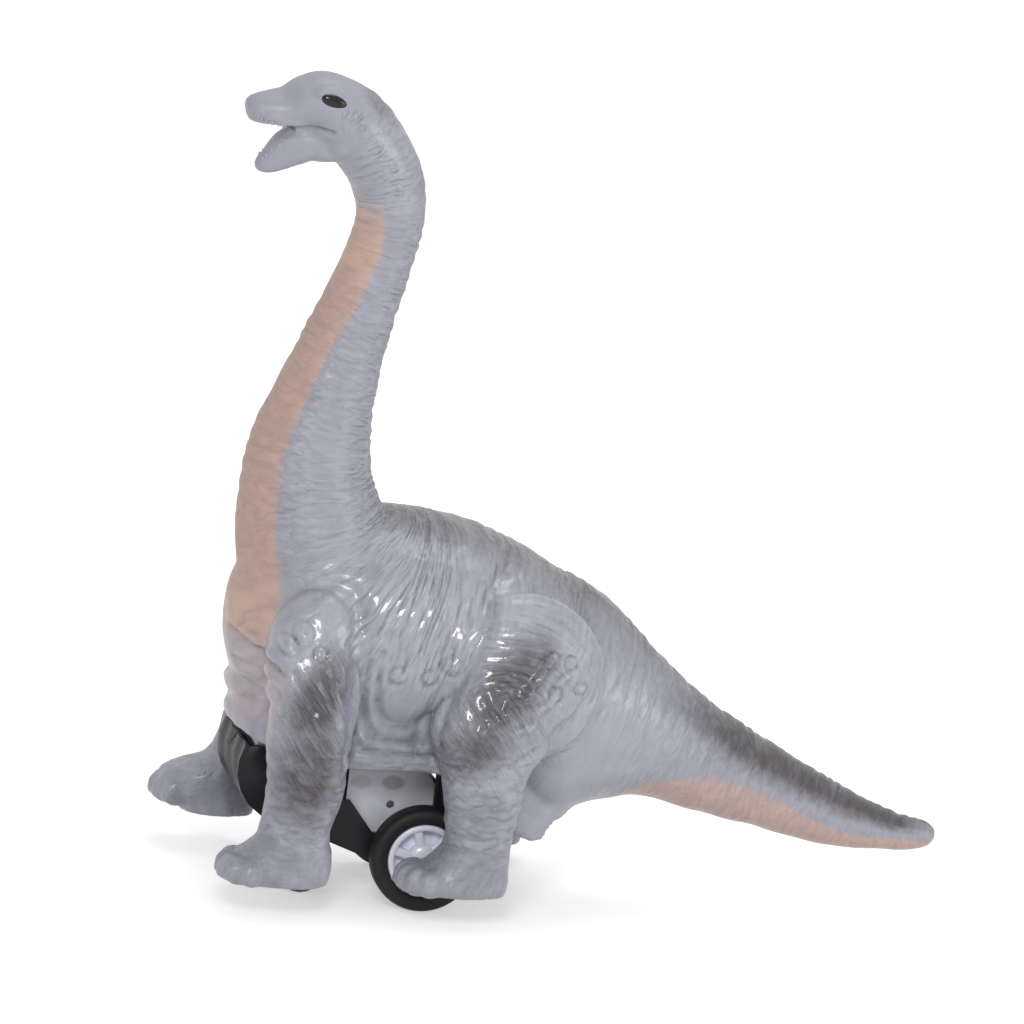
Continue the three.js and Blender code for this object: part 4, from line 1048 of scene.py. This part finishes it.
class TOY_OT_wheels(bpy.types.Operator):
    """Rear tyres and hubs, and the front wheels"""
    bl_idname = "toy.wheels"
    bl_label = "Wheels"

    def execute(self, context):
        look = context.scene.toy_motor
        rubber = moulded("tyre_rubber", look.tyre, 0.58, grain=3.0, variation=0.15,
                         relief=0.00006, Specular_IOR_Level=0.3)
        white = moulded("white_plastic", look.hub, 0.22, coat=0.35, variation=0.03,
                        relief=0.00002)
        black = moulded("black_plastic", look.black, 0.36, coat=0.1)
        for name, side in SIDES:
            tyre = outward(mesh_object(f"tyre_{name}", tyre_shape(side)))
            place(smooth(tyre, 35), "rear_wheels", rubber, "tyre", (f"rear_tyre_{name}",))
            place(hub_piece(name, side), "rear_wheels", white, "wheel_hub", (f"rear_hub_{name}",))
            soften(f"front_wheel_{name}", 0.15, 2, "front_wheels", black, "chassis")
        return {"FINISHED"}


def breadth(node):
    """Inner and outer Y of a wheel's node, in millimetres from the middle of the toy."""
    return (value / MM for value in sorted(abs(corner.y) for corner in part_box(node)))


def tyre_shape(side):
    """Tyre: a flat tread with rounded shoulders and sidewalls that dip to the rim."""
    low, high = breadth("rear_tyre_left")
    rim, shoulder = 6.45, 1.15
    wall = [(rim + out, high - dip)
            for out, dip in ((0, 0.5), (0.35, 0.18), (0.9, 0.1), (1.2, 0))]
    outer = [(TYRE_RADIUS - shoulder * (1 - math.sin(a)), high - shoulder * (1 - math.cos(a)))
             for a in np.linspace(0, np.pi / 2, 9)]
    front = wall + outer
    return turned(front + [(r, low + high - y) for r, y in reversed(front)], side, 128)


def hub_piece(name, side):
    """Hub: a rim, a recessed web, six spokes that swell towards the rim, and a domed cap."""
    low, high = breadth("rear_hub_left")
    rim, web, cap, dome_high, core, axis = 6.35, high - 2.3, 2.75, 1.1, 2.1, 0.02
    dome = [(cap * math.cos(a), high - dome_high * (1 - math.sin(a)))
            for a in np.linspace(0, np.pi / 2, 10)]
    profile = [
        (axis, low), (core, low), (core, web - 0.6), (rim - 1.0, web - 0.6),
        (rim - 1.0, low + 1.55), (rim, low + 1.55), (rim, high - 0.25), (rim - 0.12, high - 0.06),
        (rim - 0.3, high), (rim - 0.75, high), (rim - 0.95, high - 0.08), (rim - 1.02, high - 0.25),
        (rim - 1.05, web + 0.15), (rim - 1.25, web), (cap + 0.15, web), (cap, web + 0.12),
        *dome[:-1], (axis, high),
    ]
    shape, first, spokes = turned(profile, side, 96), 0.24, 6
    for spoke in range(spokes):
        shape.join(spoke_shape(side, web, high, first + spoke * 2 * np.pi / spokes))
    return smooth(outward(mesh_object(f"hub_{name}", shape)), 40)


def spoke_shape(side, web, high, turn):
    """Spoke: rounded sections carried outwards, narrow in the middle and wide at both ends."""
    t, angle = np.linspace(0, 1, 14)[:, None], circle(20)
    reach, half = 2.2 + 3.4 * t, 0.74 + 0.3 * (2 * t - 1) ** 4 + 0.1 * t
    across = half * power(np.cos(angle), 0.6)
    top, bottom = high - 0.45 - 0.1 * (1 - t), web - 0.3
    depth = side * ((top + bottom) / 2 + (top - bottom) / 2 * power(np.sin(angle), 0.5))
    c, s = math.cos(turn), math.sin(turn)
    x, z = reach * c + across * s, reach * -s + across * c
    return ring_mesh(np.stack([x, depth, z + TYRE_RADIUS], -1))


def soften(node, width, segments, body, material, slot):
    """A copy of a CAD node with merged corners and rounded edges stands for it."""
    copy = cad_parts[node].copy()
    copy.data = copy.data.copy()
    copy.name = f"soft_{node}"
    for key in list(copy.keys()):
        del copy[key]
    copy.parent = None
    bpy.context.scene.collection.objects.link(copy)
    outward(copy, 1e-6)
    finished(copy, "BEVEL", width=width * MM, segments=segments, limit_method="ANGLE",
             angle_limit=math.radians(32), use_clamp_overlap=True, miter_outer="MITER_ARC")
    place(smooth(copy, 40), body, material, slot, (node,))


class TOY_OT_motor(bpy.types.Operator):
    """Motor case, gears, pins, arbor and mainspring"""
    bl_idname = "toy.motor"
    bl_label = "Motor"

    def execute(self, context):
        look = context.scene.toy_motor
        case = moulded(
            "case_plastic", look.case, 0.3, coat=0.2, variation=0.06, Transmission_Weight=0.15,
            # Painted shadows of the two gear pins behind the case wall, and painted shade over the
            # rear of its top, under the body
            IOR=1.5, shade_spots=((-11.0, 20.6, 2.0, 0.5, 0.3), (-5.4, 20.8, 2.2, 0.6, 0.6),
                            (2.0, 24.0, 13.0, 9.0, 0.45)))
        gear = moulded("gear_plastic", colour(232, 228, 214), 0.35, coat=0.1, variation=0.04)
        steel = metal("drawn_steel", colour(196, 198, 202), 0.28)
        spring = metal("spring_steel", colour(112, 118, 126), 0.32, (0.3, 1.0, 0.3))
        for name, _ in SIDES:
            soften(f"motor_case_{name}", 0.3, 3, "toy_body", case, "motor_case")
        assign(gear, "spring_gear", "first_gear", "second_gear", "axle_pinion")
        assign(steel, "divider_plate", "spring_arbor", "first_gear_pin", "second_gear_pin",
               "rear_axle", "front_axle")
        assign(spring, "mainspring")
        return {"FINISHED"}


def assign(material, *nodes):
    """Puts a material on CAD nodes that stay."""
    for node in nodes:
        dress(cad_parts[node], material)


class TOY_OT_chassis(bpy.types.Operator):
    """Black chassis pan and its screws"""
    bl_idname = "toy.chassis"
    bl_label = "Chassis"

    def execute(self, context):
        look = context.scene.toy_motor
        black = moulded("chassis_plastic", look.black, 0.38, coat=0.06, relief=0.00005,
                        Specular_IOR_Level=0.22)
        steel = metal("screw_steel", colour(176, 178, 182), 0.34)
        soften("chassis_pan", 0.18, 2, "toy_body", black, "chassis")
        assign(steel, *(f"chassis_screw_{index}" for index in range(1, 5)))
        return {"FINISHED"}


class TOY_OT_stage(bpy.types.Operator):
    """Floor, lamps, world and camera"""
    bl_idname = "toy.stage"
    bl_label = "Stage"

    def execute(self, context):
        scene, stage = context.scene, context.scene.toy_stage
        scene.view_settings.view_transform = "Standard"
        square = np.array([(-1, -1, 0), (1, -1, 0), (1, 1, 0), (-1, 1, 0)]) * FLOOR_HALF
        floor = mesh_object("floor", Shape(square, np.array([(0, 1, 2, 3)])))
        floor.data.materials.append(floor_material())
        scene.world = studio_world()
        for name, (direction, side, share) in LAMPS.items():
            lamp(name, direction, side, stage.key * share)
        camera_view(stage.distance)
        return {"FINISHED"}


def studio_world():
    """Even light, white to the camera, in gloss and through clear pieces."""
    world = bpy.data.worlds.new("studio")
    g = Graph(world)
    even, white = (g.node("Background", {"Color": WHITE, "Strength": strength})
                   for strength in (WORLD_LIGHT, 1.0))
    g.show(white, even, "World Output")
    return world


def floor_material():
    """Pale floor with a soft shadow, brighter to the camera, in gloss and through clear pieces."""
    g = Look("pale_floor", Roughness=0.9, Specular_IOR_Level=0.1)
    grain = g.noise(g.millimetres(), 0.4, 3)
    g.set("Base Color", g.mix(grain, (0.83, 0.83, 0.83, 1), (0.87, 0.87, 0.87, 1)))
    pale = Socket(g, g.shader.outputs[0])
    glow = g.node("Emission", {"Color": WHITE, "Strength": FLOOR_GLOW})
    g.show(g.node("AddShader", {0: pale, 1: glow}), pale, "Material Output")
    return g.material


def lamp(name, direction, side, watts):
    """Square soft lamp that looks at the middle of the toy from a point about 1 m away."""
    data = bpy.data.lights.new(name, "AREA")
    data.shape, data.size, data.energy = "SQUARE", side, watts
    obj = bpy.data.objects.new(name, data)
    obj.location = Vector(TOY_MIDDLE) + Vector(direction)
    obj.rotation_euler = Vector(direction).to_track_quat("Z", "Y").to_euler()
    bpy.context.scene.collection.objects.link(obj)


def camera_view(distance):
    """The photograph's view: turned towards the front and looking down, with the toy's nose up
    about its rear axle, which the camera's own tilt stands for."""
    (turn_cos, turn_sin), (down_cos, down_sin), (nose_cos, nose_sin) = (
        cos_sin(angle) for angle in (TURN, DOWN, NOSE_UP))
    tip = Matrix(((nose_cos, 0, -nose_sin), (0, 1, 0), (nose_sin, 0, nose_cos)))
    right = tip @ Vector((turn_cos, -turn_sin, 0))
    up = tip @ Vector((turn_sin * down_sin, turn_cos * down_sin, down_cos))
    back = right.cross(up)
    foot = Vector((AXLE.x, 0, AXLE.z)) + tip @ Vector((0, 0, -AXLE.z))
    shift = right * (PHOTO_SIDE / 2 - WHEEL_FOOT[0]) + up * (WHEEL_FOOT[1] - PHOTO_SIDE / 2)
    data = bpy.data.cameras.new("photo_view")
    data.sensor_width = 36.0
    data.lens = PIXELS_PER_MM * distance / MM / PHOTO_SIDE * data.sensor_width
    data.clip_start, data.clip_end = 0.05, 30.0
    obj = bpy.data.objects.new("photo_view", data)
    obj.matrix_world = Matrix.Translation(foot + shift * (MM / PIXELS_PER_MM) + back * distance) @ (
        Matrix((right, up, back)).transposed().to_4x4())
    bpy.context.scene.collection.objects.link(obj)
    bpy.context.scene.camera = obj


class TOY_PT_panel(bpy.types.Panel):
    bl_label = "Toy dinosaur"
    bl_idname = "TOY_PT_panel"
    bl_space_type = "VIEW_3D"
    bl_region_type = "UI"
    bl_category = "Toy"

    def draw(self, context):
        for setting, cls in SETTINGS.items():
            for name in cls.__annotations__:
                self.layout.prop(getattr(context.scene, setting), name)
        for operator in OPERATORS:
            self.layout.operator(operator.bl_idname)


OPERATORS = (TOY_OT_stage, TOY_OT_body, TOY_OT_face, TOY_OT_wheels, TOY_OT_motor, TOY_OT_chassis)
SETTINGS = {
    "toy_body": ToyBodySettings, "toy_motor": ToyMotorSettings, "toy_stage": ToyStageSettings,
}


def register():
    for cls in (*SETTINGS.values(), *OPERATORS, TOY_PT_panel):
        bpy.utils.register_class(cls)
    for name, cls in SETTINGS.items():
        setattr(bpy.types.Scene, name, bpy.props.PointerProperty(type=cls))


def unregister():
    for name in SETTINGS:
        delattr(bpy.types.Scene, name)
    for cls in (TOY_PT_panel, *OPERATORS, *SETTINGS.values()):
        bpy.utils.unregister_class(cls)


def main():
    register()
    bpy.ops.toy.stage()
    bpy.ops.toy.body()
    bpy.ops.toy.face()
    bpy.ops.toy.wheels()
    bpy.ops.toy.motor()
    bpy.ops.toy.chassis()


if __name__ == "__main__":
    main()
